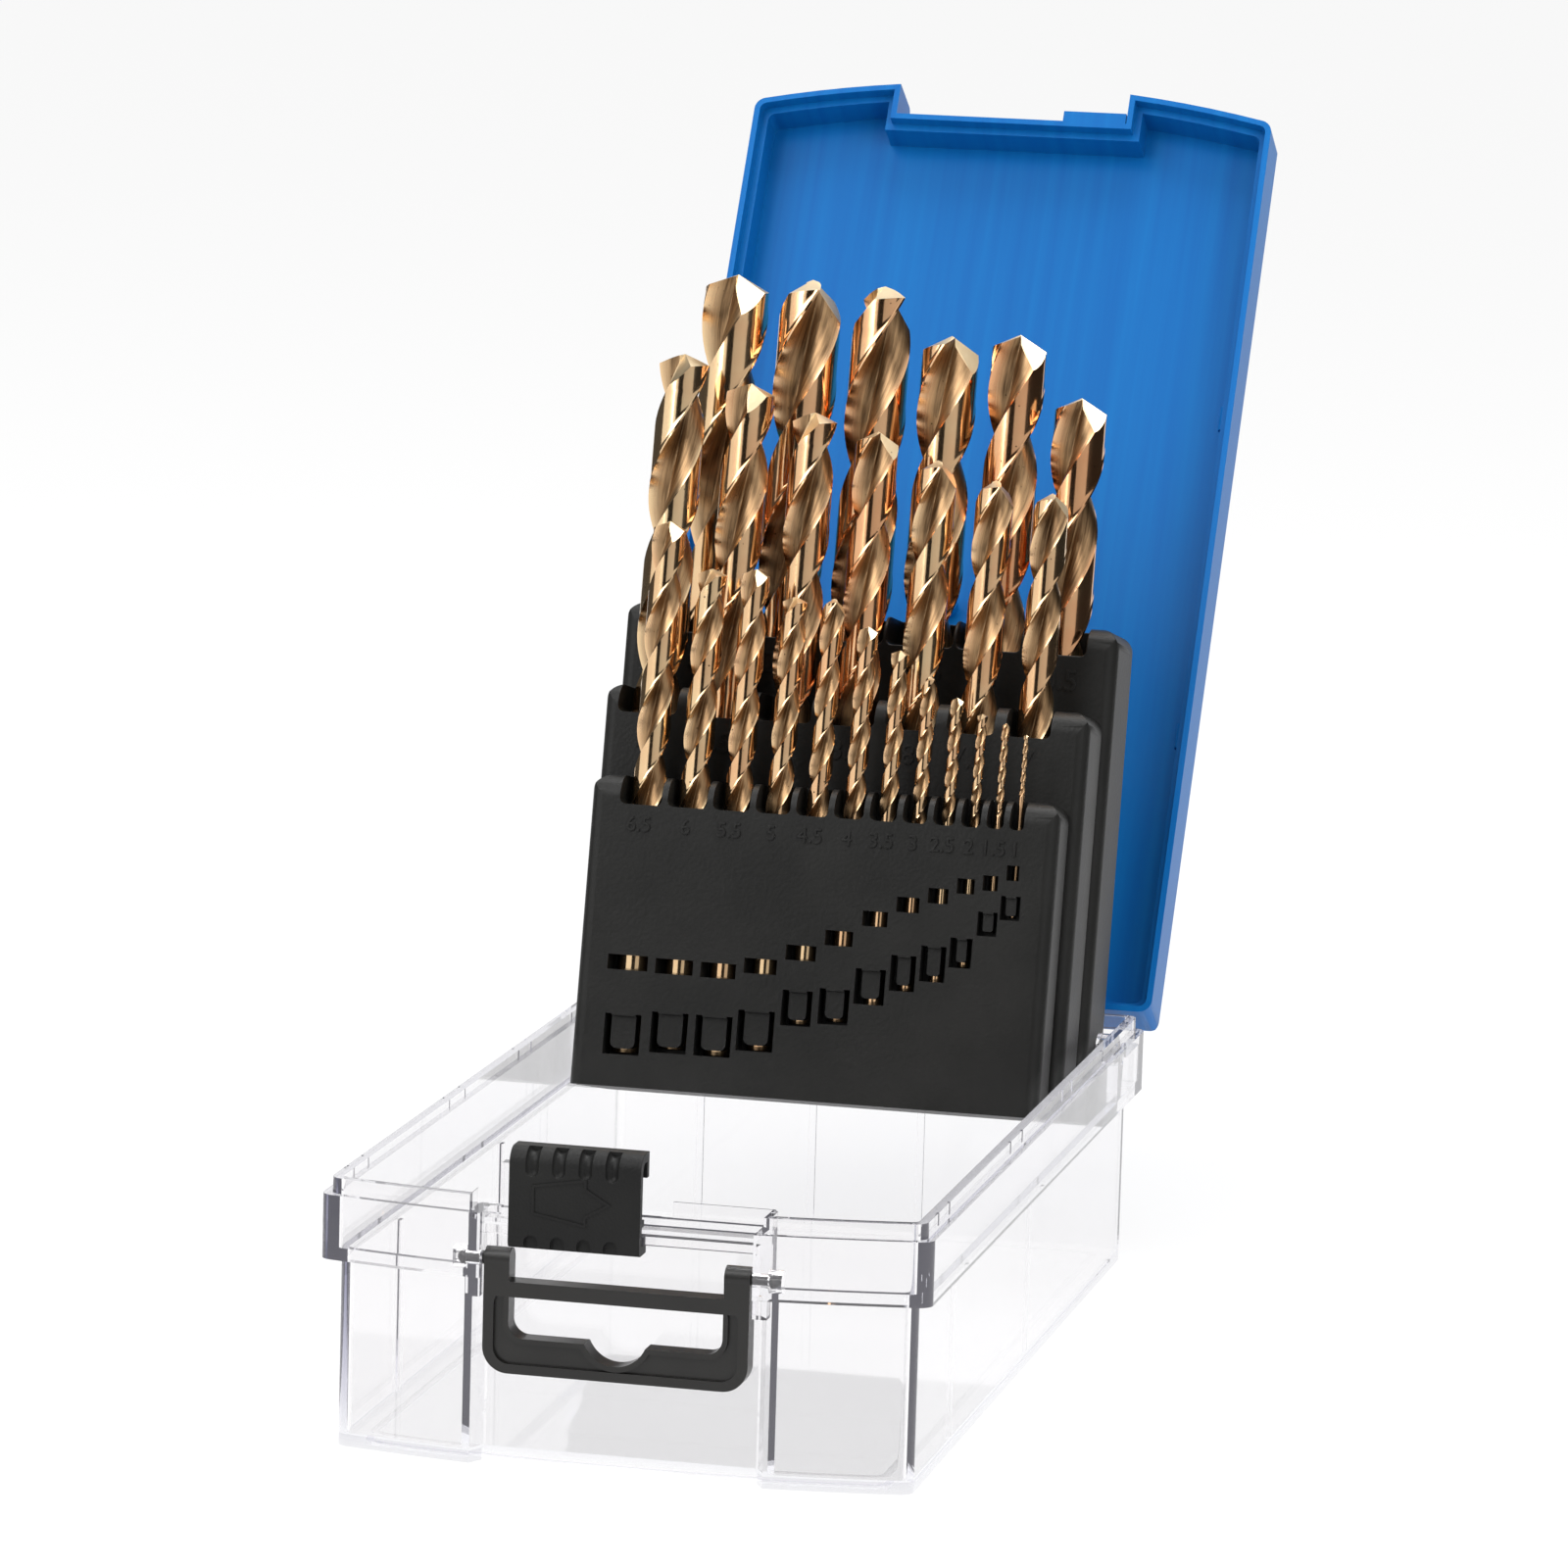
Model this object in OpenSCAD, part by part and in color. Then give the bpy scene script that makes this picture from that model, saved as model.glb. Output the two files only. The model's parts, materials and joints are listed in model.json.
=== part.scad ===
// Drill case with a clear base, a blue lid, three swing-up racks and 25 twist drills.
// Frame: X across the front, Y from the latch to the hinge, Z up.
// The origin is in the middle of the flat underside of the base.
// The case is drawn open, with the racks standing up.

/* [Case] */
// Outer width of the base below its rim band
case_w = 104; // [100:1:116]
// Outer depth of the base below its rim band
case_d = 192; // [188:1:210]
// Wall thickness of the clear base
wall = 1.8; // [1.4:0.1:2.2]
// Thickness of the base's floor
floor_t = 2.2; // [1.8:0.1:3]
// Depth of the groove that sets off the standing rim on the underside
groove_h = 0.6; // [0.3:0.1:0.8]
// Radius of the upright corners
corner_r = 2.6; // [1.8:0.1:4]
// How far the front wall bulges at its middle
front_bow = 5.8; // [4.5:0.1:7]
// Height of the rim band
band_h = 11.6; // [10.5:0.1:14]
// How far the rim band stands out from the wall
band_out = 2.9; // [2.4:0.1:3.4]
// Height of the lip above the band
lip_h = 2.8; // [2:0.1:3.4]
// How far the lip is set in from the band's face
lip_in = 1.4; // [1.2:0.1:1.6]
// Depth of the stiffening ribs
rib_t = 0.6; // [0.4:0.1:0.7]

/* [Bay for latch and handle] */
// Half width of the recessed bay in the front wall
bay_hw = 24.4; // [22:0.1:28]
// How far the bay's face stands in front of the corner line
bay_front = 0.6; // [0:0.1:1.2]
// Thickness of the latch rail
rail_t = 1.4; // [1:0.1:1.8]
// How far the latch rail stands out from the bay's face
rail_out = 4.2; // [3.8:0.1:4.8]
// Height of the slider's end stop above the rim band
post_h = 8.4; // [6:0.2:10]

/* [Latch slider] */
// Width of the latch slider
slider_w = 23.6; // [20:0.2:25]
// Depth of the latch slider from front to back
slider_depth = 5.8; // [5.4:0.1:6.4]
// Wall of the latch slider
slider_t = 1.6; // [1.3:0.1:1.9]
// Radius of the slider's upper front edge
slider_r = 3; // [2:0.1:3.6]
// Number of finger grooves
grooves = 4; // [2:1:5]
// Radius of a finger groove
groove_r = 1.25; // [0.9:0.05:1.4]

/* [Handle] */
// Length of the handle below its pivot
handle_len = 20; // [17:0.2:24]
// Thickness of the handle
handle_t = 4; // [3.2:0.1:4.4]
// Width of the handle's side arms
arm_w = 4.6; // [4:0.1:6]
// Height of the handle's cross bar
cross_h = 2.7; // [2.3:0.1:3.6]
// Height of the handle's grip bar
grip_h = 6.4; // [5.6:0.1:8]
// Radius of the hook notch in the grip bar
notch_r = 5.9; // [5:0.1:6.6]
// Radius of the handle's pivot pins
handle_pin_r = 1.2; // [1:0.05:1.4]
// Radius of the knuckle around each pivot pin
knuckle_r = 2.1; // [2:0.1:2.4]

/* [Lid] */
// Depth of the lid
lid_h = 12; // [11.2:0.1:15]
// Wall thickness of the lid at its rim
lid_wall = 2.6; // [2.4:0.1:3]
// Thickness of the lid's top
lid_top = 1.8; // [1.4:0.1:2.2]
// Radius of the lid's outer top edge
lid_edge_r = 1.6; // [1:0.1:2]
// Width of the lid's latch tab
tab_w = 13.2; // [11:0.2:15]
// How far the latch tab stands out
tab_out = 2.3; // [1.8:0.1:2.5]

/* [Hinge] */
// Radius of the hinge pin
hinge_pin_r = 1; // [0.8:0.1:1.2]
// Radius of the hinge knuckles
hinge_r = 2.5; // [2.2:0.1:2.8]
// Length of each hinge knuckle
knuckle_l = 14; // [10:0.5:16]
// Number of hinge knuckles on the base
base_knuckles = 3; // [2:1:3]

/* [Racks] */
// Thickness of the front rack
front_t = 12; // [11.6:0.1:13]
// Thickness of the middle rack
middle_t = 15.5; // [15:0.1:16.5]
// Thickness of the back rack
back_t = 18.5; // [18:0.1:19.5]
// Height of the front rack
front_h = 60; // [57:0.5:66]
// Height of the middle rack
middle_h = 78.5; // [76:0.5:84]
// Height of the back rack
back_h = 96; // [92:0.5:102]
// Gap between two racks
rack_gap = 0.6; // [0.3:0.1:1]
// How much narrower each rack is than the one behind it, on each side
rack_step = 1.3; // [1:0.1:1.8]
// Gap between the back rack and the side wall
side_gap = 1; // [1:0.1:2.4]
// Radius of the racks' rounded front upper edge
rack_edge_r = 4.5; // [3:0.1:5]
// How far the racks lean back when the case is open, in degrees
rack_lean = 13; // [10:0.5:16]
// Height of the racks' pivot above their underside
pivot_h = 14.2; // [13:0.1:16]
// Distance of the racks' pivot from the back face of the back rack
pivot_in = 8; // [7:0.1:9]
// Radius of the racks' pivot studs
pivot_r = 2; // [1.6:0.1:2.4]

/* [Drill pockets] */
// Radial clearance of a drill in its pocket
pocket_gap = 0.2; // [0.15:0.05:0.35]
// Plastic in front of the pockets of the front rack
pocket_front = 2.4; // [2:0.1:2.6]
// Plastic between two pockets of the front rack
front_web = 2.95; // [2.8:0.05:3]
// Plastic between two pockets of the middle rack
middle_web = 4.05; // [3.4:0.05:4.2]
// Plastic between two pockets of the back rack
back_web = 2.45; // [2:0.05:2.9]
// Depth of the open mouths below the top of the racks
mouth_h = 5.7; // [4.5:0.1:7]
// How much wider a mouth is than its drill
mouth_extra = 1.8; // [1.2:0.1:1.9]
// How much wider an upper window is than its drill
window_extra = 1.4; // [0.8:0.1:1.6]
// Height of the upper windows
slot_h = 2.9; // [2:0.1:3.2]
// Width of a lower window for the thinnest drill
window_w = 2.7; // [2.5:0.1:2.9]
// Height of the lower windows
tongue_h = 7.8; // [7:0.1:8.4]
// Gap around a spring tongue
tongue_gap = 1.2; // [1:0.1:1.3]
// How far a spring tongue stands back from the rack's face
tongue_in = 0.8; // [0.4:0.1:1.2]

/* [Drills] */
// Flute lead as a multiple of the diameter
lead_ratio = 5.44; // [4.6:0.02:6.4]
// Half point angle of the drills in degrees
point_half = 59; // [55:1:68]

/* [Hidden] */
$fn = 48;
eps = 0.02;
fit = 0.3;
run_gap = 0.08;

// drill diameters, overall lengths, flute lengths and pocket floors, from left to right
front_d = [6.5, 6, 5.5, 5, 4.5, 4, 3.5, 3, 2.5, 2, 1.5, 1];
front_l = [103, 93, 94, 87.5, 82, 76, 69, 60.5, 56, 48.5, 40, 35];
front_f = [63, 57, 57, 52, 47, 43, 39, 33, 30, 24, 18, 12];
front_z = [6.6, 7.9, 7.3, 8.9, 14.5, 15.5, 18.3, 22.1, 22.9, 27.6, 34.6, 37.6];
// middles of the upper windows and feet of the lower ones above the front rack's underside
front_high = [23.9, 23.7, 23.6, 25, 28.1, 31.4, 35.6, 38.7, 40.8, 43, 43.9, 46.1];
front_low = [6.2, 7.1, 7.1, 8.7, 14.1, 14.9, 19.2, 22.2, 24.4, 27.4, 33.8, 37.1];
middle_d = [10, 9.5, 9, 8.5, 8, 7.5, 7];
middle_l = [133, 126, 124, 118, 116, 110, 109];
middle_f = [87, 81, 81, 75, 75, 69, 69];
middle_z = [10.8, 12.7, 9.7, 12.7, 9.7, 12.4, 11.5];
back_d = [13, 12.5, 12, 11.5, 11, 10.5];
back_l = [151, 151, 151, 142, 142, 133];
back_f = [101, 101, 101, 94, 94, 87];
back_z = [11.1, 10.8, 10.2, 10.1, 11, 8.2];
turn_front = [20, 75, 130, 40, 100, 10, 150, 60, 120, 30, 90, 0];
turn_middle = [35, 110, 160, 80, 20, 140, 60];
turn_back = [15, 60, 120, 170, 95, 40];

// stack of racks
stack_t = front_t + middle_t + back_t + 2 * rack_gap;
middle_n = front_t + rack_gap;
back_n = front_t + middle_t + 2 * rack_gap;
pivot_n = stack_t - pivot_in;
back_w = case_w - 2 * (wall + side_gap);
middle_w = back_w - 2 * rack_step;
front_w = middle_w - 2 * rack_step - 1.4;

// heights of the base, so that the lying racks clear the floor
floor_z = floor_t;
swing_gap = 0.7;
pivot_z = floor_z + norm([pivot_n, pivot_h]) + swing_gap;
pivot_y = case_d - wall - norm([pivot_in, pivot_h]) - swing_gap;
pivot_below_lip = 3.8;
lip_z = pivot_z + pivot_below_lip;
band_top = lip_z - lip_h;
band_z = band_top - band_h;

// outlines
bow_r = (pow(case_w / 2, 2) + front_bow * front_bow) / (2 * front_bow);
bow_c = bow_r - front_bow;
upper_w = case_w + 2 * band_out - 2 * lip_in - 2 * wall;
bay_y = -bay_front;

// lid and hinge
lid_ratio = 1.18;
lid_open = (90 + rack_lean) * lid_ratio;
rim_gap = 0.3;
lid_z = band_top + rim_gap;
hinge_y = case_d + band_out + hinge_r + fit;
hinge_z = band_top + rim_gap / 2;
pitch_k = knuckle_l + fit;
nose_w = 1.3;
nose_l = 2.85;

// latch
rail_z = band_top - 1.2;
rail_y = bay_y - rail_out;
slider_y = rail_y - 0.35 - slider_t;
slider_top = lid_z + 11.6;
slider_z = rail_z - 2 * rail_t - fit - slider_t;
slider_open = -19.6;
slider_travel = 19.4;
hook_drop = 2.9;
tab_h = slider_top - slider_t - hook_drop - fit - lid_z;
post_w = 1.8;

// handle
handle_half = bay_hw - 0.6;
handle_y = rail_y + 0.2;
handle_z = slider_z - fit - 0.1 - knuckle_r;
ear_t = 2.6;
ear_drop = 3.4;
bay_splay = 6.5;
head_r = handle_pin_r + 0.6;

// left edges of a row: each pocket follows its neighbour by half of both drills and one web
function row_x(d, web, i) = i == 0 ? 0 : row_x(d, web, i - 1) + (d[i - 1] + d[i]) / 2 + web;
function row_mid(d, web) = row_x(d, web, len(d) - 1) / 2;
front_shift = 0.9;
middle_shift = -1.6;
back_shift = 1.4;
function front_x(i) = row_x(front_d, front_web, i) - row_mid(front_d, front_web) + front_shift;
function middle_x(i) = row_x(middle_d, middle_web, i) - row_mid(middle_d, middle_web) + middle_shift;
function back_x(i) = row_x(back_d, back_web, i) - row_mid(back_d, back_web) + back_shift;
function pocket_n(d) = pocket_front + pocket_gap + d / 2;

// everything is drawn from the base's front corner line, then centred
module centred() {
    translate([0, -case_d / 2, 0])
        children();
}

// plan outline grown outwards by g: straight sides, round corners and a bulging front
module plan(g, back_y, r) {
    half = case_w / 2 + g;
    big = bow_r + g;
    cx = half - r;
    cy = bow_c - sqrt(pow(big - r, 2) - cx * cx);
    tx = cx * big / (big - r);
    translate([-half, cy])
        square([2 * half, back_y - r - cy]);
    translate([-cx, cy])
        square([2 * cx, back_y - cy]);
    for (s = [-1, 1]) {
        translate([s * cx, back_y - r])
            circle(r);
        translate([s * cx, cy])
            circle(r);
    }
    intersection() {
        translate([0, bow_c])
            circle(big, $fn = 360);
        translate([-tx, -front_bow - g - 1])
            square([2 * tx, cy + front_bow + g + 1 + eps]);
    }
}

// the bay is narrow at the rim and splays open towards the front below it
module bay(half, y, splay) {
    front = y - 12;
    polygon([[-half, y], [half, y], [half + splay, front], [-half - splay, front]]);
}

module shell_in(g, r) {
    difference() {
        plan(g, case_d + g, r);
        bay(bay_hw + ear_t, bay_y + wall, 0);
    }
}

module rib(x, y, w, d, z0, z1) {
    translate([x - w / 2, y - d / 2, z0])
        cube([w, d, z1 - z0]);
}

// ear on the side wall: a round boss for the racks' pivot stud, with a ledge for the stop peg
ear_in = back_w / 2 + 0.4;
ear_r = pivot_r + 1.9;
peg_r = 1.2;
peg_off = 6;
stop_gap = 0.1;
module pivot_ear(s) {
    deep = upper_w / 2 + 0.4 - ear_in;
    x0 = s > 0 ? ear_in : -ear_in - deep;
    foot = band_z + wall - eps;
    difference() {
        union() {
            translate([x0, pivot_y, pivot_z])
                rotate([0, 90, 0])
                    cylinder(r = ear_r, h = deep);
            translate([x0, pivot_y - ear_r, foot])
                cube([deep, 2 * ear_r, pivot_z - foot]);
            translate([x0, pivot_y, foot])
                cube([deep, case_d - 0.4 - pivot_y, pivot_z - peg_r - stop_gap - foot]);
        }
        translate([s * (ear_in - 1), pivot_y, pivot_z])
            rotate([0, s * 90, 0])
                cylinder(r = pivot_r + run_gap, h = 1 + 2);
    }
}

// groove in the underside between the standing rim and the middle field
module foot_groove() {
    translate([0, 0, -1])
        linear_extrude(groove_h + 1)
            difference() {
                plan(-5, case_d - 5, 3);
                plan(-6.4, case_d - 6.4, 2);
            }
}

module base_knuckle(x) {
    translate([x - knuckle_l / 2, hinge_y, hinge_z])
        rotate([0, 90, 0])
            cylinder(r = hinge_r, h = knuckle_l);
    translate([x - knuckle_l / 2, case_d + band_out - eps, hinge_z - hinge_r - 1.2])
        cube([knuckle_l, hinge_y - case_d - band_out, hinge_r + 1.05]);
}

function base_knuckle_x(i) = (i - (base_knuckles - 1) / 2) * 2 * pitch_k;
function lid_knuckle_x(i) = (i - (base_knuckles - 2) / 2) * 2 * pitch_k;

module rail() {
    half = bay_hw + 0.5;
    translate([-half, rail_y, rail_z - rail_t])
        cube([2 * half, rail_out + 0.5, rail_t]);
    translate([-half, rail_y, rail_z - 2 * rail_t])
        cube([2 * half, 1.2, rail_t + eps]);
}

module base() {
    color([0.9, 0.93, 0.96, 0.4])
    centred()
    difference() {
        union() {
            difference() {
                union() {
                    // floor and lower wall
                    linear_extrude(band_z + wall)
                        difference() {
                            plan(0, case_d, corner_r);
                            bay(bay_hw, bay_y, bay_splay);
                        }
                    // rim band
                    translate([0, 0, band_z])
                        linear_extrude(band_h)
                            difference() {
                                plan(band_out, case_d + band_out, corner_r);
                                bay(bay_hw, bay_y, 0);
                            }
                    // lip that enters the lid
                    translate([0, 0, band_top - eps])
                        linear_extrude(lip_h + eps)
                            difference() {
                                plan(band_out - lip_in, case_d + band_out - lip_in, corner_r);
                                bay(bay_hw + lip_in, bay_y + lip_in, 0);
                                translate([-bay_hw - lip_in - 1, -20])
                                    square([bay_hw + lip_in + 9, bay_y + 20 + lip_in + wall + 1]);
                            }
                }
                // lower hollow
                translate([0, 0, floor_z])
                    linear_extrude(lip_z)
                        difference() {
                            plan(-wall, case_d - wall, corner_r - 1.2);
                            bay(bay_hw + wall, bay_y + wall, bay_splay);
                        }
                // wider hollow inside the band and lip
                translate([0, 0, band_z + wall])
                    linear_extrude(lip_z)
                        shell_in(band_out - lip_in - wall, corner_r - 1.2);
            }
            rail();
            // end stop of the slider
            translate([slider_open - 0.4 - post_w, bay_y - 2.8, rail_z - eps])
                cube([post_w, 2.5, band_top + post_h - rail_z]);
            translate([slider_open - 0.4 - post_w, bay_y - 0.6, rail_z - 2])
                cube([post_w, 1, band_top - rail_z + 2]);
            for (s = [-1, 1]) {
                // foot of the ear that carries the handle's pin
                translate([s > 0 ? bay_hw : -bay_hw - ear_t, handle_y - 2.3, band_z - ear_drop])
                    cube([ear_t, 4.6, ear_drop + eps]);
                pivot_ear(s);
                // ribs inside the side walls
                for (y = [33, 100])
                    rib(s * (case_w / 2 - wall), y, 2 * rib_t, 1.6, floor_z - eps, band_z);
                // ribs outside the back wall
                for (x = [11, 34])
                    rib(s * x, case_d, 1.4, 2 * rib_t, 1, band_z + eps);
            }
            for (i = [0 : base_knuckles - 1])
                base_knuckle(base_knuckle_x(i));
        }
        foot_groove();
        // bores for the handle's pins, room for their heads, and the bore of the hinge pin
        for (s = [-1, 1])
            translate([s * (bay_hw - 1), handle_y, handle_z])
                rotate([0, s * 90, 0]) {
                    cylinder(r = handle_pin_r + run_gap, h = ear_t + 2);
                    translate([0, 0, ear_t + 1])
                        cylinder(r = head_r + fit, h = 2.4);
                }
        translate([-case_w / 2, hinge_y, hinge_z])
            rotate([0, 90, 0])
                cylinder(r = hinge_pin_r + run_gap / 2, h = case_w);
        // ticks in the lip
        for (s = [-1, 1])
            for (y = [8.5, 17.5, 70, 80.5, 118, 127, 157])
                rib(s * (case_w / 2 + band_out - lip_in), y, 1, 0.8, band_top + 0.6, lip_z + 1);
    }
}

// lid drawn closed, then swung open about the hinge
module swing_lid() {
    centred()
        translate([0, hinge_y, hinge_z])
            rotate([-lid_open, 0, 0])
                translate([0, -hinge_y, -hinge_z])
                    children();
}

module lid_knuckle(x) {
    translate([x - knuckle_l / 2, hinge_y, hinge_z])
        rotate([0, 90, 0])
            cylinder(r = hinge_r, h = knuckle_l);
    translate([x - knuckle_l / 2, case_d + band_out - 0.5, lid_z])
        cube([knuckle_l, hinge_y - case_d - band_out + 0.5, hinge_r + 0.8]);
    // stop nose that meets the base when the lid is open
    translate([x - knuckle_l / 2, hinge_y, hinge_z - nose_w])
        cube([knuckle_l, nose_l, 2 * nose_w]);
}

// outer body with rounded top edges: side to side, at the back and along the bulging front
module lid_body() {
    r = lid_edge_r;
    half = case_w / 2 + band_out;
    back = case_d + band_out;
    top = lid_z + lid_h;
    intersection() {
        translate([0, 0, lid_z])
            linear_extrude(lid_h)
                plan(band_out, back, corner_r);
        translate([0, back + 1, 0])
            rotate([90, 0, 0])
                linear_extrude(back + 30) {
                    translate([-half - 1, lid_z - 1])
                        square([2 * half + 2, lid_h + 1 - r]);
                    translate([-half + r, lid_z - 1])
                        square([2 * half - 2 * r, lid_h + 1]);
                    for (s = [-1, 1])
                        translate([s * (half - r), top - r])
                            circle(r);
                }
        translate([-half - 1, 0, 0])
            rotate([90, 0, 90])
                linear_extrude(2 * half + 2) {
                    translate([-30, lid_z - 1])
                        square([back + 31, lid_h + 1 - r]);
                    translate([-30, lid_z - 1])
                        square([back + 30 - r, lid_h + 1]);
                    translate([back - r, top - r])
                        circle(r);
                }
        translate([0, bow_c, 0])
            rotate_extrude($fn = 360) {
                translate([0, lid_z - 1])
                    square([bow_r + band_out, lid_h + 1 - r]);
                translate([0, lid_z - 1])
                    square([bow_r + band_out - r, lid_h + 1]);
                translate([bow_r + band_out - r, top - r])
                    circle(r);
            }
    }
}

module lid() {
    rebate = 1.2;
    inner_top = lid_z + lid_h - lid_top;
    tab_x = bay_hw - 0.2 - tab_w;
    color([0.05, 0.36, 0.75])
    swing_lid() {
        difference() {
            union() {
                difference() {
                    lid_body();
                    translate([0, 0, lid_z - 1])
                        linear_extrude(lid_h + 2)
                            bay(bay_hw, bay_y, 0);
                }
                translate([tab_x, bay_y - tab_out, lid_z])
                    cube([tab_w, tab_out + 1, tab_h]);
                for (i = [0 : base_knuckles - 2])
                    lid_knuckle(lid_knuckle_x(i));
            }
            // rebate for the lip of the base
            translate([0, 0, lid_z - 1])
                linear_extrude(lip_h - rim_gap + 1 + fit)
                    difference() {
                        plan(band_out - rebate, case_d + band_out - rebate, corner_r - 1);
                        bay(bay_hw + rebate, bay_y + rebate, 0);
                    }
            // hollow of the lid
            translate([0, 0, lid_z - 1])
                linear_extrude(inner_top - lid_z + 1)
                    difference() {
                        plan(band_out - lid_wall, case_d + band_out - lid_wall, corner_r - 1);
                        bay(bay_hw + lid_wall, bay_y + lid_wall, 0);
                    }
            translate([-case_w / 2, hinge_y, hinge_z])
                rotate([0, 90, 0])
                    cylinder(r = hinge_pin_r + run_gap, h = case_w);
        }
        // snap bumps on the side walls and the middle lug under the top
        for (s = [-1, 1])
            for (y = [hinge_y - 134.5, hinge_y - 64])
                translate([s * (case_w / 2 + band_out - lid_wall), y - 2.6, lid_z + lip_h + 2.4])
                    rotate([-90, 0, 0])
                        cylinder(r = 0.9, h = 5.2);
        translate([0, hinge_y - 91, inner_top - 3])
            cylinder(r = 2.2, h = 3.4);
    }
}

module hinge_pin() {
    color("silver")
    centred()
    translate([0, hinge_y, hinge_z])
        rotate([0, 90, 0])
            cylinder(r = hinge_pin_r, h = (2 * base_knuckles - 1) * pitch_k - fit - 2, center = true);
}

// racks are drawn standing straight on their underside, then leant back about the pivot
module lean_racks() {
    centred()
        translate([0, pivot_y, pivot_z])
            rotate([-rack_lean, 0, 0])
                translate([0, -pivot_n, -pivot_h])
                    children();
}

module rounded_rack(w, t, h) {
    r = 2.4;
    top = 4;
    intersection() {
        linear_extrude(h) {
            translate([-w / 2 + r, 0])
                square([w - 2 * r, t]);
            translate([-w / 2, r])
                square([w, t - 2 * r]);
            for (s = [-1, 1])
                for (y = [r, t - r])
                    translate([s * (w / 2 - r), y])
                        circle(r);
        }
        translate([0, t + 1, 0])
            rotate([90, 0, 0])
                linear_extrude(t + 2) {
                    translate([-w / 2 - 1, -1])
                        square([w + 2, h + 1 - top]);
                    translate([-w / 2 + top, -1])
                        square([w - 2 * top, h + 1]);
                    for (s = [-1, 1])
                        translate([s * (w / 2 - top), h - top])
                            circle(top);
                }
        translate([-w / 2 - 1, 0, 0])
            rotate([90, 0, 90])
                linear_extrude(w + 2) {
                    translate([-1, -1])
                        square([t + 2, h + 1 - rack_edge_r]);
                    translate([rack_edge_r, -1])
                        square([t - rack_edge_r + 1, h + 1]);
                    translate([rack_edge_r, h - rack_edge_r])
                        circle(rack_edge_r);
                }
    }
}

// rectangle with round corners, seen from the front
module rounded_plate(x0, z0, x1, z1, r) {
    translate([x0 + r, z0])
        square([x1 - x0 - 2 * r, z1 - z0]);
    translate([x0, z0 + r])
        square([x1 - x0, z1 - z0 - 2 * r]);
    for (x = [x0 + r, x1 - r])
        for (z = [z0 + r, z1 - r])
            translate([x, z])
                circle(r, $fn = 24);
}

// bore and open mouth of a pocket
module pocket(x, d, z, h) {
    n = pocket_n(d);
    w = d + mouth_extra;
    translate([x, n, z])
        cylinder(r = d / 2 + pocket_gap, h = h);
    translate([0, n + d / 2 + 0.7, 0])
        rotate([90, 0, 0])
            linear_extrude(n + d / 2 + 2)
                rounded_plate(x - w / 2, h - mouth_h, x + w / 2, h + 3, min(1.2, w * 0.3));
}

// upper window, and a lower window that a spring tongue fills all but its sides and foot
module windows(x, d, high, low) {
    n = pocket_n(d);
    low_w = window_w + (d > 4.7 ? 4.5 : d > 3.2 ? 3.2 : d > 2.2 ? 2.2 : d > 1.8 ? 1.6 : 1.1);
    low_h = tongue_h - (d > 4.7 ? 0 : d > 2.2 ? 1 : d > 1.8 ? 2.1 : 3.2);
    high_w = d + window_extra;
    slit = d > 1.8 ? tongue_gap : tongue_gap - 0.3;
    tongue_w = low_w - 2 * slit;
    translate([0, n, 0])
        rotate([90, 0, 0])
            linear_extrude(n + 1) {
                translate([x - high_w / 2, high - slot_h / 2])
                    square([high_w, slot_h]);
                difference() {
                    translate([x - low_w / 2, low])
                        square([low_w, low_h]);
                    rounded_plate(x - tongue_w / 2, low + slit, x + tongue_w / 2, low + low_h + 4, tongue_w * 0.26);
                }
            }
    // the tongue stands back from the rack's face
    translate([x - tongue_w / 2 - eps, -1, low + slit - eps])
        cube([tongue_w + 2 * eps, 1 + tongue_in, low_h - slit - 0.3]);
}

module stud_pair(n, w, z) {
    for (s = [-1, 1])
        translate([s * w * 0.42, n, z])
            rotate([-90, 0, 0])
                children();
}

module rack_front() {
    color([0.12, 0.12, 0.13])
    lean_racks() {
        difference() {
            rounded_rack(front_w, front_t, front_h);
            for (i = [0 : len(front_d) - 1]) {
                pocket(front_x(i), front_d[i], front_z[i], front_h);
                windows(front_x(i), front_d[i], front_high[i], front_low[i]);
            }
        }
        stud_pair(front_t - 1, front_w, 4)
            cylinder(r = 1.6, h = 1 + rack_gap + 1.6);
    }
}

module rack_middle() {
    color([0.12, 0.12, 0.13])
    lean_racks()
        translate([0, middle_n, 0]) {
            difference() {
                rounded_rack(middle_w, middle_t, middle_h);
                for (i = [0 : len(middle_d) - 1])
                    pocket(middle_x(i), middle_d[i], middle_z[i], middle_h);
                stud_pair(-1, front_w, 4)
                    cylinder(r = 1.6 + run_gap, h = 1 + 1.8);
            }
            stud_pair(middle_t - 1, middle_w, 4)
                cylinder(r = 1.6, h = 1 + rack_gap + 1.6);
        }
}

module rack_back() {
    peg_n = back_t - pivot_in + peg_off * cos(rack_lean);
    peg_h = pivot_h + peg_off * sin(rack_lean);
    color([0.12, 0.12, 0.13])
    lean_racks()
        translate([0, back_n, 0]) {
            difference() {
                rounded_rack(back_w, back_t, back_h);
                for (i = [0 : len(back_d) - 1])
                    pocket(back_x(i), back_d[i], back_z[i], back_h);
                stud_pair(-1, middle_w, 4)
                    cylinder(r = 1.6 + run_gap, h = 1 + 1.8);
            }
            for (s = [-1, 1]) {
                translate([s * (back_w / 2 - 1), back_t - pivot_in, pivot_h])
                    rotate([0, s * 90, 0])
                        cylinder(r = pivot_r, h = 1 + 2.2);
                translate([s * (back_w / 2 - 1), peg_n, peg_h])
                    rotate([0, s * 90, 0])
                        cylinder(r = peg_r, h = 1 + 2);
            }
        }
}

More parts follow.
